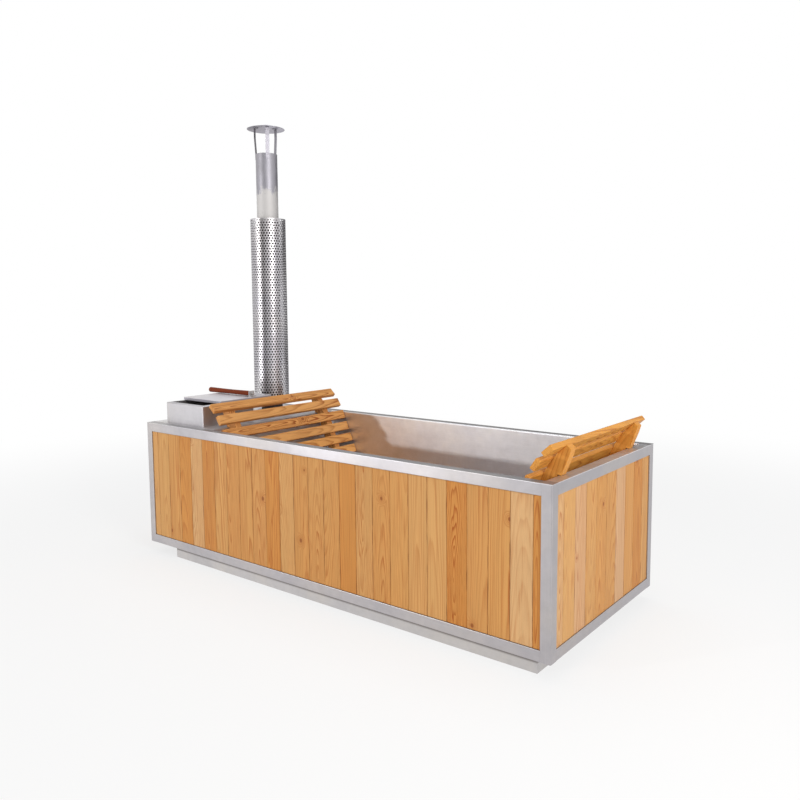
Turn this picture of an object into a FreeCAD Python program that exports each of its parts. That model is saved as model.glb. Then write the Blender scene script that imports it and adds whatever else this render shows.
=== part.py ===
import FreeCAD, Part
import math
import os
import Sketcher

# Wood-burning hot tub: steel frame with timber cladding, sheet steel tub, stove at the left end.
# Frame: X along the length (stove at minus X), minus Y is the front, Z up, floor at zero, millimetres.

doc = FreeCAD.newDocument("HotTub")
sheet = doc.addObject("Spreadsheet::Sheet", "Sizes")

SIZES = [
    ("cabinet_length", "2225"),
    ("cabinet_width", "890"),
    ("cabinet_height", "600"),
    ("plinth_height", "55"),
    ("plinth_side_setback", "24"),
    ("plinth_left_setback", "178"),
    ("plinth_right_setback", "61"),
    ("plinth_sheet", "3"),
    ("frame_side", "40"),
    ("frame_wall", "2"),
    ("tub_sheet", "2"),
    ("tub_side_gap", "1"),
    ("tub_end_gap", "7.5"),
    ("board_cover", "86.4"),
    ("board_gap", "0.8"),
    ("board_thickness", "18"),
    ("board_setback", "4"),
    ("board_chamfer", "1.2"),
    ("board_end_gap", "1"),
    ("board_least", "12"),
    ("long_first_board", "41"),
    ("end_first_board", "52"),
    ("strip_height", "45"),
    ("strip_gap", "2"),
    ("strip_inset", "30"),
    ("bearer_width", "40"),
    ("bearer_pitch", "480"),
    ("bearer_end_gap", "80"),
    ("stove_length", "413"),
    ("stove_sheet", "3"),
    ("circulation_gap", "60"),
    ("circulation_hole", "40"),
    ("circulation_drop", "162"),
    ("circulation_pitch", "115"),
    ("hopper_width", "285"),
    ("hopper_flue_gap", "305"),
    ("hopper_height", "101"),
    ("hopper_flange", "18"),
    ("hopper_left_gap", "82.5"),
    ("hopper_front_gap", "60"),
    ("firebox_rear_gap", "57"),
    ("firebox_floor_gap", "85"),
    ("firebox_sheet", "4"),
    ("foot_diameter", "42"),
    ("foot_side_inset", "45"),
    ("foot_end_inset", "60"),
    ("grate_lift", "70"),
    ("grate_bar_width", "14"),
    ("grate_bar_height", "16"),
    ("grate_bar_pitch", "34"),
    ("grate_clearance", "2"),
    ("ledge_side", "20"),
    ("baffle_drop", "280"),
    ("baffle_set_back", "45"),
    ("flue_left_gap", "164"),
    ("flue_rear_gap", "215"),
    ("pipe_diameter", "114"),
    ("pipe_wall", "1.5"),
    ("pipe_height", "1375"),
    ("spigot_height", "70"),
    ("spigot_wall", "3"),
    ("spigot_flange", "24"),
    ("spigot_clearance", "0.4"),
    ("guard_diameter", "186"),
    ("guard_wall", "1"),
    ("guard_lift", "40"),
    ("guard_length", "992"),
    ("spacer_diameter", "10"),
    ("spacer_end_gap", "45"),
    ("spacer_hole_depth", "14"),
    ("spacer_seat_gap", "0.2"),
    ("thread_gap", "0.05"),
    ("guard_screw", "5"),
    ("guard_screw_head", "10"),
    ("guard_screw_head_height", "3"),
    ("guard_screw_length", "12"),
    ("cap_diameter", "199"),
    ("cap_gap", "130"),
    ("cap_rise", "27"),
    ("cap_sheet", "1.5"),
    ("cap_leg_width", "20"),
    ("cap_leg_sheet", "2"),
    ("cap_leg_grip", "27"),
    ("cap_leg_spread", "6"),
    ("cap_leg_shoulder", "4"),
    ("cap_leg_rise", "90"),
    ("cap_leg_tab", "16"),
    ("cap_leg_seat", "0.2"),
    ("lid_overhang", "3"),
    ("lid_end_overhang", "7.5"),
    ("lid_height", "15"),
    ("lid_sheet", "2"),
    ("lid_open", "110"),
    ("handle_diameter", "26"),
    ("handle_length", "328"),
    ("handle_rise", "14.5"),
    ("handle_from_front", "207"),
    ("handle_edge_gap", "19"),
    ("bracket_sheet", "4"),
    ("bracket_width", "34"),
    ("bracket_foot", "17"),
    ("bracket_margin", "1"),
    ("handle_bolt", "8"),
    ("handle_bolt_depth", "170"),
    ("handle_bolt_end", "10"),
    ("handle_hole_spare", "15"),
    ("handle_nut", "13"),
    ("handle_nut_height", "6.5"),
    ("slat_end_gap", "2"),
    ("slat_width", "45"),
    ("slat_thickness", "21"),
    ("slat_ease", "3"),
    ("slat_gap", "19"),
    ("slat_gap_upper", "24"),
    ("slat_gap_top", "20.4"),
    ("slat_foot_gap", "12"),
    ("tilt_lower", "66"),
    ("tilt_upper", "56"),
    ("tilt_top", "42"),
    ("backrest_stand_in", "54.4"),
    ("batten_thickness", "36"),
    ("batten_inset", "107"),
    ("batten_head", "4"),
    ("batten_depth", "48"),
    ("batten_hook", "13"),
    ("batten_top_back", "48"),
    ("batten_top_rise", "94"),
    ("batten_mid_back", "38"),
    ("batten_mid_rise", "62"),
    ("batten_foot_gap", "4"),
    ("strut_height", "40"),
    ("strut_lift", "60"),
    ("strut_wall_gap", "2"),
    ("drain_right_gap", "230"),
    ("drain_rear_gap", "200"),
    ("drain_bore", "38"),
    ("drain_flange", "74"),
    ("drain_wall", "3"),
    ("drain_tail", "28"),
    ("outlet_diameter", "40"),
    ("outlet_wall", "2"),
    ("outlet_lift", "26"),
    ("outlet_overrun", "2"),
    ("outlet_clearance", "1"),
    ("hose_tail_diameter", "36"),
    ("hose_tail_length", "12"),
    ("gasket_thickness", "2"),
    ("locknut_height", "8"),
    ("washer_gap", "0.1"),
    ("plug_depth", "16"),
    ("plug_taper", "2"),
    ("plug_taper_height", "4"),
    ("plug_lip", "6"),
    ("plug_lip_height", "5"),
    ("plug_knob", "18"),
    ("plug_knob_height", "13"),
    ("running_gap", "0.4"),
]
for row, (alias, value) in enumerate(SIZES, 1):
    sheet.set("A%d" % row, alias.replace("_", " "))
    sheet.set("B%d" % row, value)
    sheet.setAlias("B%d" % row, alias)
doc.recompute()


def number(expression):
    """Present value of an expression over the sheet."""
    return float(sheet.evalExpression(expression))


def sine(angle):
    """Expression text of the sine of an angle in degrees."""
    return "sin(%s * 1 deg)" % angle


def cosine(angle):
    """Expression text of the cosine of an angle in degrees."""
    return "cos(%s * 1 deg)" % angle


def place(item, x="0", y="0", z="0"):
    """Bind the position of an object to three expressions."""
    item.setExpression("Placement.Base.x", x)
    item.setExpression("Placement.Base.y", y)
    item.setExpression("Placement.Base.z", z)
    return item


def box(name, x0, x1, y0, y1, z0, z1):
    """Box between two corners given as expressions."""
    item = doc.addObject("Part::Box", name)
    item.setExpression("Length", "(%s) - (%s)" % (x1, x0))
    item.setExpression("Width", "(%s) - (%s)" % (y1, y0))
    item.setExpression("Height", "(%s) - (%s)" % (z1, z0))
    return place(item, x0, y0, z0)


def cylinder(name, radius, height, x, y, z, axis=(0, 0, 1), turn=None):
    """Cylinder of a radius and height from a base point, along Z or along a turned axis."""
    item = doc.addObject("Part::Cylinder", name)
    item.setExpression("Radius", radius)
    item.setExpression("Height", height)
    if turn is not None:
        item.Placement = FreeCAD.Placement(FreeCAD.Vector(), FreeCAD.Rotation(FreeCAD.Vector(*axis), turn))
    return place(item, x, y, z)


def cut(name, base, *tools):
    """Base less one or more tools."""
    item = doc.addObject("Part::Cut", name)
    item.Base = base
    if len(tools) == 1:
        item.Tool = tools[0]
    else:
        item.Tool = join(name + "Tools", *tools)
    return item


def join(name, *parts):
    """One solid out of overlapping or touching parts."""
    item = doc.addObject("Part::MultiFuse", name)
    item.Shapes = list(parts)
    item.Refine = True
    return item


def group(name, parts):
    """Several separate solids in one compound."""
    item = doc.addObject("Part::Compound", name)
    item.Links = list(parts)
    return item


def sketch(body, name, plane, points):
    """Closed polygon on an origin plane of a body, every corner bound to expressions."""
    item = body.newObject("Sketcher::SketchObject", name)
    support = [face for face in body.Origin.OriginFeatures if face.Role == plane][0]
    item.AttachmentSupport = [(support, "")]
    item.MapMode = "FlatFace"
    spots = [FreeCAD.Vector(number(x), number(y), 0) for x, y in points]
    count = len(spots)
    for i in range(count):
        item.addGeometry(Part.LineSegment(spots[i], spots[(i + 1) % count]), False)
    for i in range(count):
        item.addConstraint(Sketcher.Constraint("Coincident", i, 2, (i + 1) % count, 1))
    for i, (x, y) in enumerate(points):
        index = item.addConstraint(Sketcher.Constraint("DistanceX", -1, 1, i, 1, spots[i].x))
        item.setExpression("Constraints[%d]" % index, x)
        index = item.addConstraint(Sketcher.Constraint("DistanceY", -1, 1, i, 1, spots[i].y))
        item.setExpression("Constraints[%d]" % index, y)
    return item


def rectangle(x0, x1, y0, y1):
    """Corner list of a rectangle."""
    return [(x0, y0), (x1, y0), (x1, y1), (x0, y1)]


def padded(name, plane, points, length, midplane=True):
    """Body holding one padded polygon."""
    body = doc.addObject("PartDesign::Body", name)
    outline = sketch(body, name + "Outline", plane, points)
    pad = body.newObject("PartDesign::Pad", name + "Pad")
    pad.Profile = outline
    pad.Midplane = midplane
    pad.setExpression("Length", length)
    return body


def revolved(name, points):
    """Body turned round its own Z axis from a half section in XZ."""
    body = doc.addObject("PartDesign::Body", name)
    outline = sketch(body, name + "Section", "XZ_Plane", points)
    turn = body.newObject("PartDesign::Revolution", name + "Turn")
    turn.Profile = outline
    turn.ReferenceAxis = (outline, ["V_Axis"])
    turn.Angle = 360
    return body


nodes = []


def node(label, item):
    """Register a finished piece under its file name."""
    item.Label = label
    nodes.append((label, item))
    return item


# Main planes of the cabinet.
left = "(0 - Sizes.cabinet_length / 2)"
right = "(Sizes.cabinet_length / 2)"
front = "(0 - Sizes.cabinet_width / 2)"
rear = "(Sizes.cabinet_width / 2)"
base = "Sizes.plinth_height"
rim = "(Sizes.plinth_height + Sizes.cabinet_height)"
side = "Sizes.frame_side"
frame_top = "(%s - Sizes.tub_sheet)" % rim
rail_top = "(%s + %s)" % (base, side)
side_rim = "(Sizes.frame_side + Sizes.tub_side_gap + Sizes.tub_sheet)"
end_rim = "(Sizes.frame_side + Sizes.tub_end_gap + Sizes.tub_sheet)"
inner_front = "(%s + %s)" % (front, side_rim)
inner_rear = "(%s - %s)" % (rear, side_rim)
inner_left = "(%s + %s)" % (left, end_rim)
inner_right = "(%s - %s)" % (right, end_rim)
floor_top = "(%s + Sizes.tub_sheet)" % rail_top


# Frame of square tube: posts run the full height, rails stand between them.
def tube(name, x0, x1, y0, y1, z0, z1, along):
    """Square tube between two corners, open along one axis."""
    outer = box(name + "Outer", x0, x1, y0, y1, z0, z1)
    low = [x0, y0, z0]
    high = [x1, y1, z1]
    for i in range(3):
        if "XYZ"[i] != along:
            low[i] = "(%s) + Sizes.frame_wall" % low[i]
            high[i] = "(%s) - Sizes.frame_wall" % high[i]
    inner = box(name + "Bore", low[0], high[0], low[1], high[1], low[2], high[2])
    return cut(name, outer, inner)


left_in = "(%s + %s)" % (left, side)
right_in = "(%s - %s)" % (right, side)
front_in = "(%s + %s)" % (front, side)
rear_in = "(%s - %s)" % (rear, side)
top_low = "(%s - %s)" % (frame_top, side)

node("post_front_left", tube("PostFrontLeft", left, left_in, front, front_in, base, frame_top, "Z"))
node("post_front_right", tube("PostFrontRight", right_in, right, front, front_in, base, frame_top, "Z"))
node("post_rear_left", tube("PostRearLeft", left, left_in, rear_in, rear, base, frame_top, "Z"))
node("post_rear_right", tube("PostRearRight", right_in, right, rear_in, rear, base, frame_top, "Z"))
node("top_rail_front", tube("TopRailFront", left_in, right_in, front, front_in, top_low, frame_top, "X"))
node("top_rail_rear", tube("TopRailRear", left_in, right_in, rear_in, rear, top_low, frame_top, "X"))
node("top_rail_left", tube("TopRailLeft", left, left_in, front_in, rear_in, top_low, frame_top, "Y"))
node("top_rail_right", tube("TopRailRight", right_in, right, front_in, rear_in, top_low, frame_top, "Y"))
node("bottom_rail_front", tube("BottomRailFront", left_in, right_in, front, front_in, base, rail_top, "X"))
node("bottom_rail_rear", tube("BottomRailRear", left_in, right_in, rear_in, rear, base, rail_top, "X"))
node("bottom_rail_left", tube("BottomRailLeft", left, left_in, front_in, rear_in, base, rail_top, "Y"))
node("bottom_rail_right", tube("BottomRailRight", right_in, right, front_in, rear_in, base, rail_top, "Y"))

# Bearers across the frame carry the tub floor.
bearer_first = "(%s + Sizes.bearer_end_gap)" % left_in
bearer_span = "(%s - Sizes.bearer_end_gap - %s)" % (right_in, bearer_first)
bearer_steps = max(2, round(number(bearer_span) / number("Sizes.bearer_pitch")))
bearers = []
for i in range(bearer_steps + 1):
    middle = "(%s + %s * %d / %d)" % (bearer_first, bearer_span, i, bearer_steps)
    half = "Sizes.bearer_width / 2"
    bearers.append(tube("Bearer%d" % i, "%s - %s" % (middle, half), "%s + %s" % (middle, half),
                        front_in, rear_in, base, rail_top, "Y"))
node("floor_bearers", group("FloorBearers", bearers))

# Plinth: four upright panels set back under the frame.
plinth_left = "(%s + Sizes.plinth_left_setback)" % left
plinth_right = "(%s - Sizes.plinth_right_setback)" % right
plinth_front = "(%s + Sizes.plinth_side_setback)" % front
plinth_rear = "(%s - Sizes.plinth_side_setback)" % rear
plinth_front_in = "(%s + Sizes.plinth_sheet)" % plinth_front
plinth_rear_in = "(%s - Sizes.plinth_sheet)" % plinth_rear
drain_x = "(%s - Sizes.drain_right_gap)" % right
drain_y = "(%s - Sizes.drain_rear_gap)" % rear
outlet_z = "(Sizes.outlet_lift)"
outlet_radius = "Sizes.outlet_diameter / 2"
front_panel = box("PlinthFront", plinth_left, plinth_right, plinth_front, plinth_front_in, "0", base)
rear_panel = box("PlinthRearSheet", plinth_left, plinth_right, plinth_rear_in, plinth_rear, "0", base)
rear_hole = cylinder("PlinthRearHole", outlet_radius + " + Sizes.outlet_clearance", "3 * Sizes.plinth_sheet",
                     drain_x, plinth_rear + " + Sizes.plinth_sheet", outlet_z, (1, 0, 0), 90)
left_panel = box("PlinthLeft", plinth_left, plinth_left + " + Sizes.plinth_sheet", plinth_front_in,
                 plinth_rear_in, "0", base)
right_panel = box("PlinthRight", plinth_right + " - Sizes.plinth_sheet", plinth_right, plinth_front_in,
                  plinth_rear_in, "0", base)
holed_panel = cut("PlinthRear", rear_panel, rear_hole)
node("plinth_panels", group("PlinthPanels", [front_panel, holed_panel, left_panel, right_panel]))

# Cladding boards stand in the frame openings, screwed to two strips behind them.
board_low = "(%s + Sizes.board_end_gap)" % rail_top
board_high = "(%s - Sizes.board_end_gap)" % top_low
cover = number("Sizes.board_cover")


def board_edges(first, length):
    """Offsets of the board joints along one panel, as expressions."""
    total = number(length)
    edges = ["0", first]
    spot = number(first)
    index = 0
    while spot + cover < total - number("Sizes.board_least"):
        index += 1
        edges.append("%s + %d * Sizes.board_cover" % (first, index))
        spot += cover
    edges.append(length)
    return edges


def panel(name, along, low, high, outer, sign, first):
    """Row of boards along one side; outer is the cabinet face and sign points inward."""
    edges = board_edges(first, "(%s - %s)" % (high, low))
    near = "(%s %s Sizes.board_setback)" % (outer, sign)
    far = "(%s %s Sizes.board_thickness)" % (near, sign)
    lo, hi = (near, far) if sign == "+" else (far, near)
    blanks = []
    for i in range(len(edges) - 1):
        start = "%s + %s + Sizes.board_gap / 2" % (low, edges[i])
        stop = "%s + %s - Sizes.board_gap / 2" % (low, edges[i + 1])
        label = "%sBlank%d" % (name, i)
        if along == "X":
            blanks.append(box(label, start, stop, lo, hi, board_low, board_high))
        else:
            blanks.append(box(label, lo, hi, start, stop, board_low, board_high))
    doc.recompute()
    face = number(near)
    axis = 1 if along == "X" else 0
    boards = []
    for i, blank in enumerate(blanks):
        board = doc.addObject("Part::Chamfer", "%sBoard%d" % (name, i))
        board.Base = blank
        chosen = []
        for index, edge in enumerate(blank.Shape.Edges, 1):
            a, b = edge.Vertexes[0].Point, edge.Vertexes[1].Point
            upright = abs(a[2] - b[2]) > 1
            if upright and abs(a[axis] - face) < 1e-4:
                chosen.append((index, number("Sizes.board_chamfer"), number("Sizes.board_chamfer")))
        board.Edges = chosen
        boards.append(board)
    return group(name, boards)


long_first = "Sizes.long_first_board"
end_first = "Sizes.end_first_board"
node("cladding_front_boards", panel("CladdingFront", "X", left_in, right_in, front, "+", long_first))
node("cladding_rear_boards", panel("CladdingRear", "X", left_in, right_in, rear, "-", long_first))
node("cladding_left_boards", panel("CladdingLeft", "Y", front_in, rear_in, left, "+", end_first))
node("cladding_right_boards", panel("CladdingRight", "Y", front_in, rear_in, right, "-", end_first))

strip_rows = [
    ("Low", "%s + Sizes.strip_inset" % rail_top, "%s + Sizes.strip_inset + Sizes.strip_height" % rail_top),
    ("High", "%s - Sizes.strip_inset - Sizes.strip_height" % top_low, "%s - Sizes.strip_inset" % top_low),
]
strip_thickness = "(Sizes.frame_side - Sizes.board_setback - Sizes.board_thickness - Sizes.strip_gap)"
strip_front = "(%s + Sizes.board_setback + Sizes.board_thickness)" % front
strip_rear = "(%s - Sizes.board_setback - Sizes.board_thickness)" % rear
strip_left = "(%s + Sizes.board_setback + Sizes.board_thickness)" % left
strip_right = "(%s - Sizes.board_setback - Sizes.board_thickness)" % right
strips = []
for tag, low, high in strip_rows:
    strips.append(box("StripFront" + tag, left_in, right_in, strip_front,
                      strip_front + " + " + strip_thickness, low, high))
    strips.append(box("StripRear" + tag, left_in, right_in, strip_rear + " - " + strip_thickness,
                      strip_rear, low, high))
    strips.append(box("StripLeft" + tag, strip_left, strip_left + " + " + strip_thickness,
                      front_in, rear_in, low, high))
    strips.append(box("StripRight" + tag, strip_right + " - " + strip_thickness, strip_right,
                      front_in, rear_in, low, high))
node("cladding_strips", group("CladdingStrips", strips))

# Tub lining: floor sheet and four wall sheets, each wall folded outward into the rim flange.
floor_plate = box("TubFloorPlate", inner_left + " - Sizes.tub_sheet", inner_right + " + Sizes.tub_sheet",
                  inner_front + " - Sizes.tub_sheet", inner_rear + " + Sizes.tub_sheet", rail_top, floor_top)
drain_hole = cylinder("TubFloorHole", "Sizes.drain_bore / 2 + Sizes.drain_wall + Sizes.running_gap",
                      "4 * Sizes.tub_sheet", drain_x, drain_y, rail_top + " - Sizes.tub_sheet")
node("tub_floor", cut("TubFloor", floor_plate, drain_hole))
sheet_size = "Sizes.tub_sheet"


def folded(name, plane, inner, outer, sign, length):
    """Wall sheet from the floor up, with its top folded out over the frame."""
    back = "(%s %s %s)" % (inner, sign, sheet_size)
    corners = [(inner, floor_top), (back, floor_top), (back, frame_top), (outer, frame_top),
               (outer, rim), (inner, rim)]
    return padded(name, plane, corners, length)


long_wall = "Sizes.cabinet_length"
end_wall = "(%s - %s)" % (inner_rear, inner_front)
front_wall = folded("TubFront", "YZ_Plane", inner_front, front, "-", long_wall)
rear_wall = folded("TubRear", "YZ_Plane", inner_rear, rear, "+", long_wall)


def trim_ends(name, wall, y0, y1):
    """Take the upright part of a long wall back to the tub's length."""
    low = box(name + "EndLeft", left + " - Sizes.tub_sheet", inner_left + " - Sizes.tub_sheet", y0, y1,
              base, frame_top)
    high = box(name + "EndRight", inner_right + " + Sizes.tub_sheet", right + " + Sizes.tub_sheet", y0, y1,
               base, frame_top)
    return cut(name, wall, low, high)


node("tub_front_wall", trim_ends("TubFrontWall", front_wall, inner_front + " - 2 * Sizes.tub_sheet",
                                 inner_front + " + Sizes.tub_sheet"))
node("tub_rear_wall", trim_ends("TubRearWall", rear_wall, inner_rear + " - Sizes.tub_sheet",
                                inner_rear + " + 2 * Sizes.tub_sheet"))
node("tub_left_wall", folded("TubLeftWall", "XZ_Plane", inner_left, left, "-", end_wall))
node("tub_right_wall", folded("TubRightWall", "XZ_Plane", inner_right, right, "+", end_wall))

# Stove end: wall towards the bathers, deck at rim level, firebox below and hopper above.
stove_face = "(%s + Sizes.stove_length)" % inner_left
stove_back = "(%s - Sizes.stove_sheet)" % stove_face
deck_low = "(%s - Sizes.stove_sheet)" % rim
wall_sheet = box("StoveWallSheet", stove_back, stove_face, inner_front, inner_rear,
                 floor_top + " + Sizes.circulation_gap", rim)
hole_run = "(%s - %s)" % (inner_rear, inner_front)
hole_count = max(2, int(number(hole_run) / number("Sizes.circulation_pitch")))
holes = []
for i in range(hole_count):
    hole_y = "(%s + %s * %d / %d)" % (inner_front, hole_run, 2 * i + 1, 2 * hole_count)
    holes.append(cylinder("StoveWallHole%d" % i, "Sizes.circulation_hole / 2", "3 * Sizes.stove_sheet",
                          stove_back + " - Sizes.stove_sheet", hole_y, rim + " - Sizes.circulation_drop",
                          (0, 1, 0), 90))
node("stove_wall", cut("StoveWall", wall_sheet, *holes))

hopper_left = "(%s + Sizes.hopper_left_gap)" % left
hopper_right = "(%s + Sizes.hopper_width)" % hopper_left
hopper_front = "(%s + Sizes.hopper_front_gap)" % front
flue_x = "(%s + Sizes.flue_left_gap)" % left
flue_y = "(%s - Sizes.flue_rear_gap)" % rear
hopper_rear = "(%s - Sizes.hopper_flue_gap)" % flue_y
hopper_top = "(%s + Sizes.hopper_height)" % rim
mouth_left = "(%s + Sizes.stove_sheet)" % hopper_left
mouth_right = "(%s - Sizes.stove_sheet)" % hopper_right
mouth_front = "(%s + Sizes.stove_sheet)" % hopper_front
mouth_rear = "(%s - Sizes.stove_sheet)" % hopper_rear
pipe_inner = "(Sizes.pipe_diameter / 2 - Sizes.pipe_wall)"
spigot_outer = "(%s - Sizes.spigot_clearance)" % pipe_inner
spigot_inner = "(%s - Sizes.spigot_wall)" % spigot_outer

deck_plate = box("StoveDeckPlate", inner_left, stove_back, inner_front, inner_rear, deck_low, rim)
deck_mouth = box("StoveDeckMouth", mouth_left, mouth_right, mouth_front, mouth_rear,
                 deck_low + " - Sizes.stove_sheet", rim + " + Sizes.stove_sheet")
deck_flue = cylinder("StoveDeckFlue", spigot_inner, "3 * Sizes.stove_sheet", flue_x, flue_y,
                     deck_low + " - Sizes.stove_sheet")
node("stove_deck", cut("StoveDeck", deck_plate, deck_mouth, deck_flue))

hopper = doc.addObject("PartDesign::Body", "Hopper")
hopper_plan = sketch(hopper, "HopperPlan", "XY_Plane", rectangle(
    hopper_left, hopper_right, hopper_front, hopper_rear))
hopper_pad = hopper.newObject("PartDesign::Pad", "HopperPad")
hopper_pad.Profile = hopper_plan
hopper_pad.setExpression("Length", "Sizes.hopper_height")
doc.recompute()
throat_plan = sketch(hopper, "HopperThroat", "XY_Plane", rectangle(
    mouth_left, mouth_right, mouth_front, mouth_rear))
throat = hopper.newObject("PartDesign::Pocket", "HopperThroatPocket")
throat.Profile = throat_plan
throat.Reversed = True
throat.setExpression("Length", "Sizes.hopper_height - Sizes.stove_sheet")
doc.recompute()
lip_plan = sketch(hopper, "HopperLip", "XY_Plane", rectangle(
    hopper_left + " + Sizes.hopper_flange", hopper_right + " - Sizes.hopper_flange",
    hopper_front + " + Sizes.hopper_flange", hopper_rear + " - Sizes.hopper_flange"))
lip = hopper.newObject("PartDesign::Pocket", "HopperLipPocket")
lip.Profile = lip_plan
lip.Reversed = True
lip.setExpression("Length", "Sizes.hopper_height + Sizes.stove_sheet")
place(hopper, "0", "0", rim)
node("hopper", hopper)

fire_rear = "(%s - Sizes.firebox_rear_gap)" % inner_rear
fire_low = "(%s + Sizes.firebox_floor_gap)" % floor_top
fire_sheet = "Sizes.firebox_sheet"
fire_outer = box("FireboxOuter", hopper_left, hopper_right, hopper_front, fire_rear, fire_low, deck_low)
fire_left_in = "(%s + %s)" % (hopper_left, fire_sheet)
fire_right_in = "(%s - %s)" % (hopper_right, fire_sheet)
fire_front_in = "(%s + %s)" % (hopper_front, fire_sheet)
fire_rear_in = "(%s - %s)" % (fire_rear, fire_sheet)
fire_inner = box("FireboxInner", fire_left_in, fire_right_in, fire_front_in, fire_rear_in,
                 "%s + %s" % (fire_low, fire_sheet), deck_low + " + Sizes.stove_sheet")
node("firebox", cut("Firebox", fire_outer, fire_inner))
feet = []
foot_radius = "Sizes.foot_diameter / 2"
for i, x in enumerate((hopper_left + " + Sizes.foot_side_inset", hopper_right + " - Sizes.foot_side_inset")):
    for j, y in enumerate((hopper_front + " + Sizes.foot_end_inset", fire_rear + " - Sizes.foot_end_inset")):
        feet.append(cylinder("FireboxFoot%d%d" % (i, j), foot_radius, "%s - %s" % (fire_low, floor_top),
                             x, y, floor_top))
node("firebox_feet", group("FireboxFeet", feet))

ledge_low = "(%s + %s + Sizes.grate_lift)" % (fire_low, fire_sheet)
ledge_high = "(%s + Sizes.ledge_side)" % ledge_low
node("grate_ledges", group("GrateLedges", [
    box("GrateLedgeLeft", fire_left_in, fire_left_in + " + Sizes.ledge_side", fire_front_in, fire_rear_in,
        ledge_low, ledge_high),
    box("GrateLedgeRight", fire_right_in + " - Sizes.ledge_side", fire_right_in, fire_front_in, fire_rear_in,
        ledge_low, ledge_high)]))
bars = []
grate_left = "(%s + Sizes.grate_clearance)" % fire_left_in
grate_right = "(%s - Sizes.grate_clearance)" % fire_right_in
bar_top = "(%s + Sizes.grate_bar_height)" % ledge_high
bar_run = "(%s - %s)" % (fire_rear_in, fire_front_in)
bar_count = max(2, int(number(bar_run) / number("Sizes.grate_bar_pitch")) - 1)
for i in range(bar_count):
    middle = "(%s + %s * %d / %d)" % (fire_front_in, bar_run, 2 * i + 1, 2 * bar_count)
    bars.append(box("GrateBar%d" % i, grate_left, grate_right, middle + " - Sizes.grate_bar_width / 2",
                    middle + " + Sizes.grate_bar_width / 2", ledge_high, bar_top))
node("fire_grate", group("FireGrate", bars))
baffle_y = "(%s + Sizes.baffle_set_back)" % hopper_rear
node("smoke_baffle", box("SmokeBaffle", fire_left_in, fire_right_in, baffle_y, baffle_y + " + " + fire_sheet,
                         deck_low + " - Sizes.baffle_drop", deck_low))

# Flue: spigot on the deck, pipe pushed over it, perforated guard round the pipe on spacers.
spigot_flange = "(%s + Sizes.spigot_flange)" % spigot_outer
spigot = revolved("FlueSpigot", [
    (spigot_inner, "0"), (spigot_flange, "0"), (spigot_flange, "Sizes.stove_sheet"),
    (spigot_outer, "Sizes.stove_sheet"), (spigot_outer, "Sizes.spigot_height"),
    (spigot_inner, "Sizes.spigot_height")])
node("flue_spigot", place(spigot, flue_x, flue_y, rim))
pipe_low = "(%s + Sizes.stove_sheet + Sizes.running_gap)" % rim
pipe_top = "(%s + Sizes.pipe_height)" % rim
pipe_radius = "(Sizes.pipe_diameter / 2)"
pipe = revolved("FluePipe", [
    (pipe_inner, "0"), (pipe_radius, "0"), (pipe_radius, "%s - %s" % (pipe_top, pipe_low)),
    (pipe_inner, "%s - %s" % (pipe_top, pipe_low))])
node("flue_pipe", place(pipe, flue_x, flue_y, pipe_low))
guard_radius = "(Sizes.guard_diameter / 2)"
guard_inner = "(%s - Sizes.guard_wall)" % guard_radius
guard_low = "(%s + Sizes.guard_lift)" % rim
guard_tube = revolved("FlueGuardTube", [
    (guard_inner, "0"), (guard_radius, "0"), (guard_radius, "Sizes.guard_length"),
    (guard_inner, "Sizes.guard_length")])
place(guard_tube, flue_x, flue_y, guard_low)
spacers = []
screws = []
screw_holes = []
spacer_rows = [guard_low + " + Sizes.spacer_end_gap",
               guard_low + " + Sizes.guard_length - Sizes.spacer_end_gap"]
spacer_angles = (90.0, 210.0, 330.0)
lying = FreeCAD.Rotation(FreeCAD.Vector(0, 1, 0), 90)
for row, level in enumerate(spacer_rows):
    for i, angle in enumerate(spacer_angles):
        cos_a = "%.9f" % math.cos(math.radians(angle))
        sin_a = "%.9f" % math.sin(math.radians(angle))
        turn = FreeCAD.Rotation(FreeCAD.Vector(0, 0, 1), angle) * lying

        def radial(name, radius, start, stop):
            """Cylinder pointing away from the flue axis between two distances."""
            item = doc.addObject("Part::Cylinder", name)
            item.setExpression("Radius", radius)
            item.setExpression("Height", "(%s) - (%s)" % (stop, start))
            item.Placement = FreeCAD.Placement(FreeCAD.Vector(), turn)
            return place(item, "%s + (%s) * (%s)" % (flue_x, start, cos_a),
                         "%s + (%s) * (%s)" % (flue_y, start, sin_a), level)

        tag = "%d%d" % (row, i)
        seat = "(%s - Sizes.spacer_seat_gap)" % guard_inner
        rod = radial("GuardSpacerRod" + tag, "Sizes.spacer_diameter / 2",
                     "%s - Sizes.pipe_wall" % pipe_radius, seat)
        bore = radial("GuardSpacerBore" + tag, "Sizes.guard_screw / 2 + Sizes.thread_gap",
                      "%s - Sizes.spacer_hole_depth" % seat, "%s + Sizes.guard_wall" % seat)
        core = cylinder("GuardSpacerCore" + tag, pipe_radius, "4 * Sizes.spacer_diameter", flue_x, flue_y,
                        level + " - 2 * Sizes.spacer_diameter")
        spacers.append(cut("GuardSpacer" + tag, rod, bore, core))
        screw_holes.append(radial("GuardHole" + tag, "Sizes.guard_screw / 2 + Sizes.thread_gap",
                                  guard_inner + " - Sizes.guard_wall", guard_radius + " + Sizes.guard_wall"))
        shank = radial("GuardScrewShank" + tag, "Sizes.guard_screw / 2",
                       "%s - Sizes.guard_screw_length" % guard_radius,
                       guard_radius + " + Sizes.guard_screw_head_height / 2")
        under_head = "(%s + Sizes.spacer_seat_gap)" % guard_radius
        head = radial("GuardScrewHead" + tag, "Sizes.guard_screw_head / 2", under_head,
                      under_head + " + Sizes.guard_screw_head_height")
        screws.append(join("GuardScrew" + tag, shank, head))
node("flue_guard", cut("FlueGuard", guard_tube, *screw_holes))
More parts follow.
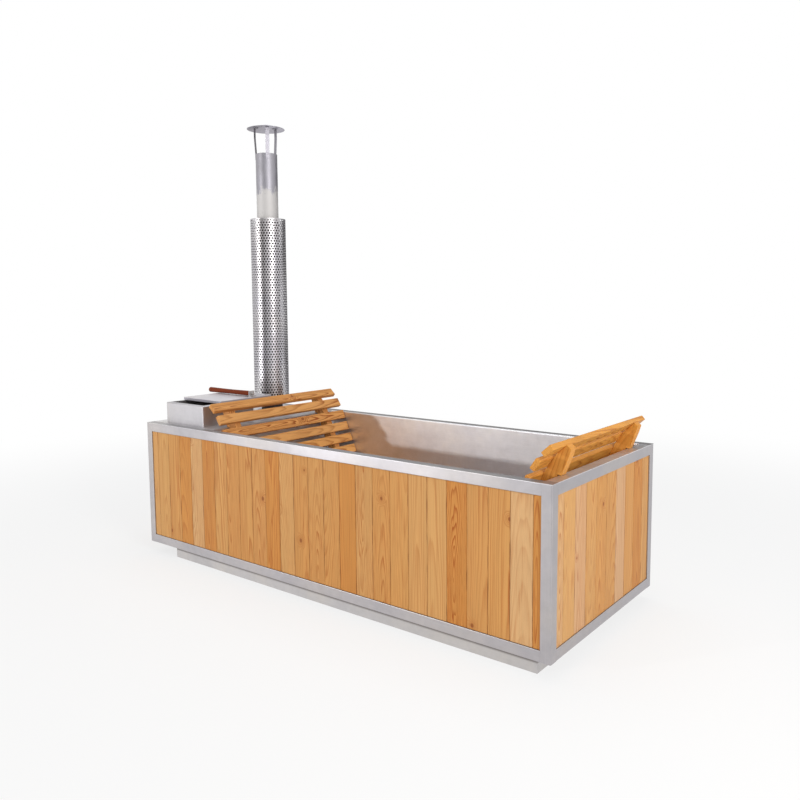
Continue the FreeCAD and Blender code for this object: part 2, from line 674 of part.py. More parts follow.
node("guard_spacers", group("GuardSpacers", spacers))
node("guard_screws", group("GuardScrews", screws))

# Rain cap: shallow cone on three bent strip legs that clip over the top of the pipe.
cap_low = "(%s + Sizes.cap_gap)" % pipe_top
cap_radius = "(Sizes.cap_diameter / 2)"
cap = revolved("RainCap", [
    ("0", "Sizes.cap_rise - Sizes.cap_sheet"), (cap_radius, "0"), (cap_radius, "Sizes.cap_sheet"),
    ("0", "Sizes.cap_rise")])
node("rain_cap", place(cap, flue_x, flue_y, cap_low))
leg_sheet = "Sizes.cap_leg_sheet"
leg_in = "(%s + Sizes.running_gap)" % pipe_radius
leg_out = "(%s + %s)" % (leg_in, leg_sheet)
leg_reach = "(%s + Sizes.cap_leg_spread)" % pipe_radius
leg_tab = "(%s - Sizes.cap_leg_tab)" % leg_reach
cap_slope = "((Sizes.cap_rise - Sizes.cap_sheet) / %s)" % cap_radius
leg_end = "(%s + %s)" % (leg_reach, leg_sheet)


def under_cap(reach):
    """Height above the pipe top where a flat leg's edges meet the underside of the cone."""
    edge = "sqrt((%s)^2 + (Sizes.cap_leg_width / 2)^2)" % reach
    return "(Sizes.cap_gap - Sizes.cap_leg_seat + (%s - %s) * %s)" % (cap_radius, edge, cap_slope)


leg_corners = [
    (leg_in, "0 - Sizes.cap_leg_grip"),
    (leg_out, "0 - Sizes.cap_leg_grip"),
    (leg_out, "Sizes.cap_leg_shoulder"),
    (leg_end, "Sizes.cap_leg_rise"),
    (leg_end, under_cap(leg_end)),
    (leg_tab, under_cap(leg_tab)),
    (leg_tab, under_cap(leg_tab) + " - " + leg_sheet),
    (leg_reach, under_cap(leg_reach) + " - " + leg_sheet),
    (leg_reach, "Sizes.cap_leg_rise + %s / 2" % leg_sheet),
    (leg_in, "Sizes.cap_leg_shoulder + %s / 2" % leg_sheet),
]
cap_leg_angles = (("rear", 85.0), ("left", 205.0), ("right", 325.0))
for i, (word, angle) in enumerate(cap_leg_angles):
    leg = padded("CapLeg%d" % i, "XZ_Plane", leg_corners, "Sizes.cap_leg_width")
    leg.Placement = FreeCAD.Placement(FreeCAD.Vector(), FreeCAD.Rotation(FreeCAD.Vector(0, 0, 1), angle))
    place(leg, flue_x, flue_y, pipe_top)
    node("cap_leg_" + word, leg)

# Hopper lid: shallow upturned tray lying part open on the hopper, with its handle.
lid_low = "(%s + Sizes.running_gap)" % hopper_top
lid_top = "(%s + Sizes.lid_height)" % lid_low
lid_left = "(%s - Sizes.lid_overhang)" % hopper_left
lid_right = "(%s + Sizes.lid_overhang)" % hopper_right
lid_front = "(%s - Sizes.lid_end_overhang + Sizes.lid_open)" % hopper_front
lid_rear = "(%s + Sizes.lid_end_overhang + Sizes.lid_open)" % hopper_rear
bracket_x = "(%s - Sizes.handle_edge_gap)" % lid_right
handle_y = "(%s + Sizes.handle_from_front)" % lid_front
handle_z = "(%s + Sizes.handle_rise)" % lid_top
lid = doc.addObject("PartDesign::Body", "Lid")
lid_plan = sketch(lid, "LidPlan", "XY_Plane", rectangle(lid_left, lid_right, lid_front, lid_rear))
lid_pad = lid.newObject("PartDesign::Pad", "LidPad")
lid_pad.Profile = lid_plan
lid_pad.setExpression("Length", "Sizes.lid_height")
doc.recompute()
lid_hollow_plan = sketch(lid, "LidHollowPlan", "XY_Plane", rectangle(
    lid_left + " + Sizes.lid_sheet", lid_right + " - Sizes.lid_sheet",
    lid_front + " + Sizes.lid_sheet", lid_rear + " - Sizes.lid_sheet"))
lid_hollow = lid.newObject("PartDesign::Pocket", "LidHollow")
lid_hollow.Profile = lid_hollow_plan
lid_hollow.Reversed = True
lid_hollow.setExpression("Length", "Sizes.lid_height - Sizes.lid_sheet")
place(lid, "0", "0", lid_low)
node("lid", lid)

bracket_sheet = "Sizes.bracket_sheet"
bracket_top = "(%s + Sizes.handle_diameter / 2 + Sizes.bracket_margin)" % handle_z
bolt_radius = "(Sizes.handle_bolt / 2)"
bracket_plate = padded("HandleBracketPlate", "XZ_Plane", [
    (bracket_x, lid_top), (bracket_x + " + Sizes.bracket_foot", lid_top),
    (bracket_x + " + Sizes.bracket_foot", lid_top + " + " + bracket_sheet),
    (bracket_x + " + " + bracket_sheet, lid_top + " + " + bracket_sheet),
    (bracket_x + " + " + bracket_sheet, bracket_top),
    (bracket_x, bracket_top)], "Sizes.bracket_width")
place(bracket_plate, "0", handle_y, "0")
bracket_hole = cylinder("HandleBracketHole", bolt_radius + " + Sizes.thread_gap", "3 * Sizes.bracket_sheet",
                        bracket_x + " - Sizes.bracket_sheet", handle_y, handle_z, (0, 1, 0), 90)
node("handle_bracket", cut("HandleBracket", bracket_plate, bracket_hole))
grip_left = "(%s - Sizes.handle_length)" % bracket_x
grip_hole_depth = "(Sizes.handle_bolt_depth + Sizes.handle_hole_spare)"
grip_rod = cylinder("HandleGripRod", "Sizes.handle_diameter / 2", "Sizes.handle_length", grip_left, handle_y,
                    handle_z, (0, 1, 0), 90)
grip_hole = cylinder("HandleGripHole", bolt_radius + " + Sizes.thread_gap",
                     "%s + Sizes.bracket_sheet" % grip_hole_depth,
                     "%s - %s" % (bracket_x, grip_hole_depth), handle_y, handle_z, (0, 1, 0), 90)
node("handle_grip", cut("HandleGrip", grip_rod, grip_hole))
bolt_length = "Sizes.handle_bolt_depth + Sizes.bracket_sheet + Sizes.handle_bolt_end"
bolt_left = bracket_x + " - Sizes.handle_bolt_depth"
node("handle_bolt", cylinder("HandleBolt", bolt_radius, bolt_length, bolt_left, handle_y, handle_z,
                             (0, 1, 0), 90))
nut_block = doc.addObject("Part::Prism", "HandleNutBlock")
nut_block.Polygon = 6
nut_block.setExpression("Circumradius", "Sizes.handle_nut / sqrt(3)")
nut_block.setExpression("Height", "Sizes.handle_nut_height")
nut_block.Placement = FreeCAD.Placement(FreeCAD.Vector(), FreeCAD.Rotation(FreeCAD.Vector(0, 1, 0), 90))
nut_seat = "(%s + %s)" % (bracket_x, bracket_sheet)
place(nut_block, nut_seat, handle_y, handle_z)
nut_hole = cylinder("HandleNutHole", bolt_radius + " + Sizes.thread_gap", "3 * Sizes.handle_nut_height",
                    nut_seat + " - Sizes.handle_nut_height", handle_y, handle_z, (0, 1, 0), 90)
node("handle_nut", cut("HandleNut", nut_block, nut_hole))

# Backrests: slats on two shaped battens. Built at the right end, mirrored for the stove end.
# Offsets run inward from the rim edge and up from the rim; corners follow the backs of the slats.
def inward(offset):
    """X position of an offset measured inward from the right end's rim edge."""
    return "(%s - (%s))" % (inner_right, offset)


def stepped(start, length, angle):
    """Point a length further down and inward at a slope angle from the horizontal."""
    return ("(%s + (%s) * %s)" % (start[0], length, cosine(angle)),
            "(%s - (%s) * %s)" % (start[1], length, sine(angle)))


low_tilt, high_tilt, top_tilt = "Sizes.tilt_lower", "Sizes.tilt_upper", "Sizes.tilt_top"
slat_size = "Sizes.slat_width"
thickness = "Sizes.slat_thickness"
slat_length = "(%s - %s - 2 * Sizes.slat_end_gap)" % (inner_rear, inner_front)
batten_spacing = "(%s - 2 * Sizes.batten_inset)" % slat_length
lift = "Sizes.running_gap"
anchor = ("Sizes.backrest_stand_in", lift)
upper_low = stepped(anchor, "0 - Sizes.slat_gap_upper", "((%s + %s) / 2)" % (low_tilt, high_tilt))
upper_high = stepped(upper_low, "0 - " + slat_size, high_tilt)
top_lower = stepped(upper_high, "0 - Sizes.slat_gap_top", "((%s + %s) / 2)" % (high_tilt, top_tilt))
top_upper = stepped(top_lower, "0 - " + slat_size, top_tilt)
batten_head = stepped(top_upper, "0 - Sizes.batten_head", top_tilt)
foot_rise = "(%s - %s + Sizes.batten_foot_gap)" % (floor_top, rim)
run_down = "((%s - %s) / %s)" % (lift, foot_rise, sine(low_tilt))
foot_front = stepped(anchor, run_down, low_tilt)
depth_run = "(Sizes.batten_depth / %s)" % sine(low_tilt)
foot_back = ("(%s - %s)" % (foot_front[0], depth_run), foot_front[1])
notch_in = ("(%s - %s)" % (anchor[0], depth_run), lift)
notch_out = ("(0 - Sizes.batten_hook)", lift)
back_mid = ("(0 - Sizes.batten_mid_back)", "Sizes.batten_mid_rise")
back_top = ("(0 - Sizes.batten_top_back)", "Sizes.batten_top_rise")
batten_points = [batten_head, top_upper, top_lower, upper_high, upper_low, anchor, foot_front, foot_back,
                 notch_in, notch_out, back_mid, back_top]
batten_corners = [(inward(u), "(%s + (%s))" % (rim, h)) for u, h in batten_points]
mirror_x = "((%s + %s) / 2)" % (inner_right, stove_face)


def mirrored(name, source):
    """The same piece for the stove end."""
    item = doc.addObject("Part::Mirroring", name)
    item.Source = source
    item.Normal = FreeCAD.Vector(1, 0, 0)
    item.setExpression("Base.x", mirror_x)
    return item


slat_starts = [(top_upper, top_tilt), (upper_high, high_tilt)]
slat_pitch = "(Sizes.slat_width + Sizes.slat_gap)"
slat_room = "(%s - Sizes.slat_foot_gap + Sizes.slat_gap) / %s" % (run_down, slat_pitch)
for i in range(int(number(slat_room))):
    along = "%d * %s" % (i, slat_pitch)
    slat_starts.append((stepped(anchor, along, low_tilt), low_tilt))
blanks = []
for i, (corner, tilt) in enumerate(slat_starts):
    blank = doc.addObject("Part::Box", "SlatBlank%d" % i)
    blank.setExpression("Length", slat_size)
    blank.setExpression("Width", slat_length)
    blank.setExpression("Height", thickness)
    turn = FreeCAD.Rotation(FreeCAD.Vector(0, 1, 0), 180.0 - number(tilt))
    blank.Placement = FreeCAD.Placement(FreeCAD.Vector(), turn)
    blank.setExpression("Placement.Rotation.Angle", "180 - " + tilt)
    place(blank, "%s - %s * %s" % (inward(corner[0]), thickness, sine(tilt)), "0 - %s / 2" % slat_length,
          "%s + (%s) + %s * %s" % (rim, corner[1], thickness, cosine(tilt)))
    blanks.append(blank)
doc.recompute()
slats = []
for i, blank in enumerate(blanks):
    slat = doc.addObject("Part::Fillet", "Slat%d" % i)
    slat.Base = blank
    ease = number("Sizes.slat_ease")
    chosen = []
    for index, edge in enumerate(blank.Shape.Edges, 1):
        if abs(edge.Vertexes[0].Point[1] - edge.Vertexes[1].Point[1]) > 1:
            chosen.append((index, ease, ease))
    slat.Edges = chosen
    slats.append(slat)
right_slats = node("backrest_right_slats", group("BackrestRightSlats", slats))
node("backrest_left_slats", mirrored("BackrestLeftSlats", right_slats))
strut_low = "(%s + Sizes.strut_lift)" % foot_rise
strut_high = "(%s + Sizes.strut_height)" % strut_low


def batten_back(height):
    """Inward offset of the lower back edge of a batten at a height from the rim."""
    return "(%s + (%s - (%s)) * %s / %s)" % (notch_in[0], lift, height, cosine(low_tilt), sine(low_tilt))


strut_points = [("Sizes.strut_wall_gap", strut_low), (batten_back(strut_low), strut_low),
                (batten_back(strut_high), strut_high), ("Sizes.strut_wall_gap", strut_high)]
strut_corners = [(inward(u), "(%s + (%s))" % (rim, h)) for u, h in strut_points]
struts = []
for sign, word in (("0 -", "front"), ("0 +", "rear")):
    middle = "(%s %s / 2)" % (sign, batten_spacing)
    batten = padded("Batten" + word.title(), "XZ_Plane", batten_corners, "Sizes.batten_thickness")
    place(batten, "0", middle, "0")
    node("backrest_right_batten_" + word, batten)
    node("backrest_left_batten_" + word, mirrored("BattenLeft" + word.title(), batten))
    strut = padded("Strut" + word.title(), "XZ_Plane", strut_corners, "Sizes.batten_thickness")
    place(strut, "0", middle, "0")
    struts.append(strut)
right_struts = node("backrest_right_struts", group("BackrestRightStruts", struts))
node("backrest_left_struts", mirrored("BackrestLeftStruts", right_struts))

# Floor drain: flanged bush through the floor, gasket and locknut under it, outlet pipe and plug.
drain_radius = "(Sizes.drain_bore / 2)"
drain_outer = "(%s + Sizes.drain_wall)" % drain_radius
flange_radius = "(Sizes.drain_flange / 2)"
bush = revolved("DrainBush", [
    (drain_radius, "0 - Sizes.drain_tail"), (drain_outer, "0 - Sizes.drain_tail"), (drain_outer, "0"),
    (flange_radius, "0"), (flange_radius, "Sizes.drain_wall"), (drain_radius, "Sizes.drain_wall")])
node("drain_bush", place(bush, drain_x, drain_y, floor_top))
washer_in = "(%s + Sizes.washer_gap)" % drain_outer
gasket = revolved("DrainGasket", [
    (washer_in, "0 - Sizes.gasket_thickness"), (flange_radius, "0 - Sizes.gasket_thickness"),
    (flange_radius, "0"), (washer_in, "0")])
node("drain_gasket", place(gasket, drain_x, drain_y, rail_top))
locknut = doc.addObject("Part::Prism", "DrainNutBlock")
locknut.Polygon = 6
locknut.setExpression("Circumradius", flange_radius)
locknut.setExpression("Height", "Sizes.locknut_height")
nut_top = "(%s - Sizes.gasket_thickness)" % rail_top
place(locknut, drain_x, drain_y, nut_top + " - Sizes.locknut_height")
locknut_hole = cylinder("DrainNutHole", washer_in, "3 * Sizes.locknut_height", drain_x, drain_y,
                        nut_top + " - 2 * Sizes.locknut_height")
node("drain_locknut", cut("DrainNut", locknut, locknut_hole))
elbow_top = "(%s - Sizes.drain_tail)" % floor_top
elbow_end = "(%s + Sizes.outlet_overrun)" % plinth_rear
elbow_bore = "(%s - Sizes.outlet_wall)" % outlet_radius
drop = cylinder("OutletDrop", outlet_radius, "%s - %s" % (elbow_top, outlet_z), drain_x, drain_y, outlet_z)
heel = doc.addObject("Part::Sphere", "OutletHeel")
heel.setExpression("Radius", outlet_radius)
place(heel, drain_x, drain_y, outlet_z)
run_length = "(%s - %s)" % (elbow_end, drain_y)
level_run = cylinder("OutletRun", outlet_radius, run_length, drain_x, drain_y, outlet_z, (1, 0, 0), -90)
tail_radius = "(Sizes.hose_tail_diameter / 2)"
hose_tail = cylinder("OutletTail", tail_radius, run_length + " + Sizes.hose_tail_length", drain_x, drain_y,
                     outlet_z, (1, 0, 0), -90)
drop_bore = cylinder("OutletDropBore", elbow_bore, "%s - %s + Sizes.outlet_wall" % (elbow_top, outlet_z),
                     drain_x, drain_y, outlet_z)
heel_bore = doc.addObject("Part::Sphere", "OutletHeelBore")
heel_bore.setExpression("Radius", elbow_bore)
place(heel_bore, drain_x, drain_y, outlet_z)
run_bore = cylinder("OutletRunBore", elbow_bore, run_length + " - Sizes.outlet_wall", drain_x, drain_y,
                    outlet_z, (1, 0, 0), -90)
tail_bore = cylinder("OutletTailBore", tail_radius + " - Sizes.outlet_wall",
                     run_length + " + 2 * Sizes.hose_tail_length", drain_x, drain_y, outlet_z,
                     (1, 0, 0), -90)
outlet_solid = join("OutletSolid", drop, heel, level_run, hose_tail)
node("drain_outlet", cut("DrainOutlet", outlet_solid, drop_bore, heel_bore, run_bore, tail_bore))
plug_radius = "(%s - Sizes.running_gap)" % drain_radius
plug_head = "(%s + Sizes.plug_lip)" % drain_radius
plug_nose = "(%s - Sizes.plug_taper)" % plug_radius
plug_low = "(0 - Sizes.plug_depth)"
plug_knob = "(Sizes.plug_knob / 2)"
plug_top = "(Sizes.plug_lip_height + Sizes.plug_knob_height)"
plug = revolved("DrainPlug", [
    ("0", plug_low), (plug_nose, plug_low), (plug_radius, plug_low + " + Sizes.plug_taper_height"),
    (plug_radius, "0"), (plug_head, "0"), (plug_head, "Sizes.plug_lip_height"),
    (plug_knob, "Sizes.plug_lip_height"), (plug_knob, plug_top), ("0", plug_top)])
node("drain_plug", place(plug, drain_x, drain_y, floor_top + " + Sizes.drain_wall + Sizes.running_gap"))

doc.recompute()
faults = [item.Name for item in doc.Objects if "Invalid" in item.State or "Error" in item.State]
if faults:
    raise SystemExit("features in error: " + ", ".join(faults))
os.makedirs("parts", exist_ok=True)
for label, item in nodes:
    if item.Shape.isNull() or not item.Shape.isValid() or not item.Shape.Solids:
        raise SystemExit("bad shape: " + label)
for label, item in nodes:
    item.Shape.exportStep("parts/%s.step" % label)
print("parts written:", len(nodes), "solids:", sum(len(item.Shape.Solids) for _, item in nodes))
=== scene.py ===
"""Looks of a wood-burning hot tub: timber cladding, steel frame and tub, stove, flue and backrests.

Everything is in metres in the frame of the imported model: X along the length with the stove at minus X,
the front at minus Y, Z up and the ground at zero.
"""

import logging
import math
from collections.abc import Sequence
from dataclasses import dataclass
from enum import Enum
from typing import Self

import bpy
import numpy as np
from mathutils import Matrix, Vector

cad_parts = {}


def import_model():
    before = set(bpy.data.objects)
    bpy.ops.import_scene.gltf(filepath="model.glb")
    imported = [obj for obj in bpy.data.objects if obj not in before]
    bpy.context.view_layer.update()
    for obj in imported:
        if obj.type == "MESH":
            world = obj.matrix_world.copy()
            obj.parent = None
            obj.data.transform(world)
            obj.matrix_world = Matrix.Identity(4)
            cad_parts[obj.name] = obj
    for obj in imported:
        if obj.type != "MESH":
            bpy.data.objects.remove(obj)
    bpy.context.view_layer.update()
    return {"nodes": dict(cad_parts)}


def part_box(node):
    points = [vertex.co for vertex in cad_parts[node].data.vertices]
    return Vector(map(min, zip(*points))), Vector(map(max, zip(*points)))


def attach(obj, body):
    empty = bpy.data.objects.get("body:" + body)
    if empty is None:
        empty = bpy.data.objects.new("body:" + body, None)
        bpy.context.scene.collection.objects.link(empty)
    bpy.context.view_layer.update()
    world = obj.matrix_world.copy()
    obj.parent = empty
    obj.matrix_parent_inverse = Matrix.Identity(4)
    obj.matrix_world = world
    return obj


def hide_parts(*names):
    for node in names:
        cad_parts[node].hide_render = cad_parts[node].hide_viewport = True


LOG = logging.getLogger("hot_tub")
SHARP_ANGLE = math.radians(35.0)
LAND = 0.004
HOLE_POINTS = 12
QUARTER = math.pi / 2
Array = np.ndarray
Pair = tuple[float, float]
Triple = tuple[float, float, float]
Step = tuple[float, float, float, float]
Material = bpy.types.Material
Node = bpy.types.Node
Socket = bpy.types.NodeSocket


class Ends(Enum):
    """How a lofted surface is closed at its first and last loop."""

    CAPS = "caps"
    RING = "ring"


class Axis(Enum):
    """A direction of the frame, by the number of its coordinate."""

    X = 0
    Y = 1
    Z = 2


class GrainSource(Enum):
    """Where a wood finish finds the place of a point in its tree."""

    MARKS = "marks"
    FRAME = "frame"


class BoardTone(Enum):
    """Colour families of the cladding boards, as lightness and share of pink."""

    HONEY = (0.0, 0.05)
    AMBER = (-1.0, 0.05)
    STRAW = (0.8, 0.05)
    PALE = (1.6, 0.4)
    ROSY = (1.0, 1.0)


class Dulling(Enum):
    """Where steel is darkened: nowhere, below or above a height, or where it is marked. On the plinth, the
    lid's sides and the rim tops this is painted shade.
    """

    NONE = "none"
    LOW = "low"
    HIGH = "high"
    MARKED = "marked"


class Face(Enum):
    """A side of the cabinet: its name, the directions along and across it, and the way outward."""

    FRONT = ("front", Axis.X, Axis.Y, -1.0)
    REAR = ("rear", Axis.X, Axis.Y, 1.0)
    LEFT = ("left", Axis.Y, Axis.X, -1.0)
    RIGHT = ("right", Axis.Y, Axis.X, 1.0)

    def __init__(self, word: str, run: Axis, across: Axis, out: float) -> None:
        """Names the parts of the value.

        Args:
            word: Name of the side.
            run: Direction along it.
            across: Direction across it.
            out: Sign of the way outward.
        """
        self.word = word
        self.run = run
        self.across = across
        self.out = out


class Side(Enum):
    """An end of the bathing space: its name, the wall behind it, and the way inward along X."""

    LEFT = ("left", "stove_wall", 1.0)
    RIGHT = ("right", "tub_right_wall", -1.0)

    def __init__(self, word: str, wall: str, inward: float) -> None:
        """Names the parts of the value.

        Args:
            word: Name of the end.
            wall: Node of the wall behind it.
            inward: Sign of the way inward.
        """
        self.word = word
        self.wall = wall
        self.inward = inward


def grid_faces(rows: int, columns: int, wrap_rows: bool) -> Array:
    """Quads between neighbouring points of a stack of closed loops.

    Args:
        rows: Number of loops.
        columns: Number of points in a loop.
        wrap_rows: Whether the last loop joins the first.

    Returns:
        Point numbers, four to a face.
    """
    span = np.arange(rows if wrap_rows else rows - 1)
    row, column = np.meshgrid(span, np.arange(columns), indexing="ij")
    row_next = (row + 1) % rows
    column_next = (column + 1) % columns
    corners = [row * columns + column, row * columns + column_next,
               row_next * columns + column_next, row_next * columns + column]
    return np.stack(corners, -1).reshape(-1, 4)


def enclosed(points: Array, faces: Sequence[Array]) -> float:
    """Signed volume inside closed faces: a sixth of the sum of the triple products of their fan triangles.

    Args:
        points: Positions, one row each.
        faces: Arrays of point numbers.

    Returns:
        The volume, below zero where the faces point inward.
    """
    total = 0.0
    for rows in faces:
        corner = points[rows]
        cross = np.cross(corner[:, 1:-1], corner[:, 2:])
        total += float(np.sum(corner[:, :1] * cross))
    return total / 6.0


def unit(sides: Array) -> Array:
    """Directions of a row of sides."""
    return sides / np.linalg.norm(sides, axis=1, keepdims=True)


def rounded_outline(width: float, height: float, radii: Sequence[float], steps: int = 4) -> Array:
    """Rectangle about zero whose corners are quarter circles, counter-clockwise from the right.

    Args:
        width: Full size across.
        height: Full size upward.
        radii: Corner radii, in the order right upper, left upper, left lower, right lower.
        steps: Spans in each quarter circle.

    Returns:
        Points of the closed outline, x and y.
    """
    radius = np.asarray(radii, float)[:, None]
    signs = np.array([[1, 1], [-1, 1], [-1, -1], [1, -1]])
    centre = signs * (np.array([width, height]) / 2 - radius)
    angle = np.linspace(0, QUARTER, steps + 1) + np.arange(4)[:, None] * QUARTER
    arc = np.stack([np.cos(angle), np.sin(angle)], -1)
    return (centre[:, None] + radius[:, None] * arc).reshape(-1, 2)


def inset_polygon(corners: Array, inset: float) -> Array:
    """Counter-clockwise polygon with every side moved inward.

    A corner moves along the sum of the inward normals of its two sides, over one plus their dot product.

    Args:
        corners: Corners, x and y.
        inset: Distance that the sides move.

    Returns:
        The moved corners.
    """
    side = unit(np.roll(corners, -1, 0) - corners)
    normal = np.stack([-side[:, 1], side[:, 0]], -1)
    before = np.roll(normal, 1, 0)
    scale = 1 + np.sum(normal * before, 1, keepdims=True)
    return corners + inset * (normal + before) / scale


def blunted(corners: Array, cut: float) -> Array:
    """Polygon with each corner replaced by two points a cut's length along its sides.

    Args:
        corners: Corners, x and y.
        cut: Length taken off each side at a corner.

    Returns:
        Twice as many corners.
    """
    ahead = unit(np.roll(corners, -1, 0) - corners)
    back = unit(np.roll(corners, 1, 0) - corners)
    return np.stack([corners + cut * back, corners + cut * ahead], 1).reshape(-1, 2)


def eased_stations(length: float, ease: float, middle: int, steps: int = 4) -> tuple[Array, Array]:
    """Places along a bar with rounded ends, and how far its outline draws in there.

    Near an end the outline is ease times one minus the sine in, where the place is ease times one minus
    the cosine of the same angle along.

    Args:
        length: Length of the bar.
        ease: Radius of the rounding at both ends.
        middle: Number of plain places between the two roundings.
        steps: Places in each rounding.

    Returns:
        Places and insets.
    """
    angle = np.linspace(0, QUARTER, steps)
    depth = ease * (1 - np.cos(angle))
    inset = ease * (1 - np.sin(angle))
    plain = np.linspace(ease, length - ease, middle + 2)[1:-1]
    along = np.concatenate([depth, plain, length - depth[::-1]])
    drawn = np.concatenate([inset, np.zeros(middle), inset[::-1]])
    return along, drawn


def folded(bend: float, radius: float, top: float, steps: int) -> Array:
    """Fold of a sheet: cosine in and sine up about a centre one bend in from the face and below the top.

    Args:
        bend: Outer radius of the fold.
        radius: Radius of this face of the sheet.
        top: Height of the folded flange.
        steps: Number of points.

    Returns:
        Distances in from the face, and heights, from the foot of the fold up.
    """
    turn = np.linspace(0, QUARTER, steps)
    return np.stack([bend - radius * np.cos(turn), top - bend + radius * np.sin(turn)], -1)


def lathe_points(profile: Array, centre: Sequence[float], segments: int, axis: Axis = Axis.Z) -> Array:
    """Turned surface: radius times cosine and sine across, height along the axis.

    Args:
        profile: Radius and height of each ring.
        centre: Point that the heights start from.
        segments: Points round each ring.
        axis: Direction of the turning axis.

    Returns:
        Points, rings first.
    """
    angle = np.linspace(0, 2 * math.pi, segments, endpoint=False)
    radius = profile[:, :1]
    height = np.broadcast_to(profile[:, 1:], (len(profile), segments))
    turned = np.stack([radius * np.cos(angle), radius * np.sin(angle), height], -1)
    return np.roll(turned, axis.value + 1, -1) + np.asarray(centre, float)


def box_of(node: str) -> tuple[Array, Array]:
    """Lowest and highest corner of a CAD node."""
    low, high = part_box(node)
    return np.array(low), np.array(high)


def top_of(node: str) -> float:
    """Height of the top of a CAD node."""
    return box_of(node)[1][2]


def axis_of(node: str) -> tuple[Array, float, float]:
    """Axis of an upright turned node.

    Args:
        node: Name of the node.

    Returns:
        The foot of the axis, the radius and the height.
    """
    low, high = box_of(node)
    foot = np.array([(low[0] + high[0]) / 2, (low[1] + high[1]) / 2, low[2]])
    return foot, max(high[0] - low[0], high[1] - low[1]) / 2, high[2] - low[2]


class Shell:
    """Gathers surfaces worked out as arrays and turns them into one mesh object."""

    def __init__(self) -> None:
        """Starts with nothing."""
        self.points: list[Array] = []
        self.loops: list[Array] = []
        self.sizes: list[Array] = []
        self.smooth: list[Array] = []
        self.marks: dict[str, list[Array]] = {}
        self.count = 0

    def add(self, points: Array, faces: Sequence[Array], land: float, **marks: Array) -> None:
        """Takes in one closed surface and turns its faces outward.

        Wide faces stay flat beside smooth bends; a width is the shorter mean of opposite sides.

        Args:
            points: Positions, with x y z last.
            faces: Arrays of point numbers, rows of one array all as long.
            land: Width from which a face is shaded flat.
            marks: Point attributes by name, shaped as the points.
        """
        flat = points.reshape(-1, 3)
        turned = enclosed(flat, faces) < 0
        for rows in faces:
            ordered = rows[:, ::-1] if turned else rows
            corner = flat[ordered]
            side = np.linalg.norm(np.roll(corner, -1, 1) - corner, axis=2)
            width = np.minimum(side[:, 0::2].mean(1), side[:, 1::2].mean(1))
            self.loops.append((ordered + self.count).ravel())
            self.sizes.append(np.full(len(rows), rows.shape[1]))
            self.smooth.append(width < land if rows.shape[1] <= 4 else np.zeros(len(rows), bool))
        for name, values in marks.items():
            self.marks.setdefault(name, []).append(values.reshape(-1, 3))
        self.points.append(flat)
        self.count += len(flat)

    def loft(self, loops: Array, ends: Ends = Ends.CAPS, land: float = LAND, **marks: Array) -> Self:
        """Takes in a stack of closed loops.

        Args:
            loops: Positions, shaped loops by points by x y z.
            ends: Whether the stack is capped or closes on itself.
            land: Width from which a face is shaded flat.
            marks: Point attributes by name, shaped as the points.

        Returns:
            The shell itself.
        """
        rows, columns = loops.shape[:2]
        faces = [grid_faces(rows, columns, ends is Ends.RING)]
        if ends is Ends.CAPS:
            cap = np.arange(columns)[None]
            faces += [cap[:, ::-1], (rows - 1) * columns + cap]
        self.add(loops, faces, land, **marks)
        return self

    def turn(self, profile: Sequence[Pair] | Array, foot: Array, segments: int,
             ends: Ends = Ends.RING) -> Self:
        """Takes in radii and heights turned round an upright axis, smooth all round."""
        return self.loft(lathe_points(np.array(profile), foot, segments), ends, math.inf)

    def build(self, name: str, material: Material) -> bpy.types.Object:
        """Makes the mesh object.

        Args:
            name: Name of the piece.
            material: Its finish.

        Returns:
            The object, in the scene, with smooth bends and sharp edges.
        """
        points = np.concatenate(self.points)
        loops = np.concatenate(self.loops)
        sizes = np.concatenate(self.sizes)
        mesh = bpy.data.meshes.new(name)
        mesh.vertices.add(len(points))
        mesh.vertices.foreach_set("co", points.astype(np.float32).ravel())
        mesh.loops.add(len(loops))
        mesh.loops.foreach_set("vertex_index", loops.astype(np.int32))
        mesh.polygons.add(len(sizes))
        mesh.polygons.foreach_set("loop_start", (np.cumsum(sizes) - sizes).astype(np.int32))
        mesh.update(calc_edges=True)
        mesh.validate()
        for mark, values in self.marks.items():
            layer = mesh.attributes.new(mark, "FLOAT_VECTOR", "POINT")
            layer.data.foreach_set("vector", np.concatenate(values).astype(np.float32).ravel())
        mesh.set_sharp_from_angle(angle=SHARP_ANGLE)
        mesh.polygons.foreach_set("use_smooth", np.concatenate(self.smooth))
        mesh.materials.append(material)
        piece = bpy.data.objects.new(name, mesh)
        bpy.context.scene.collection.objects.link(piece)
        return piece


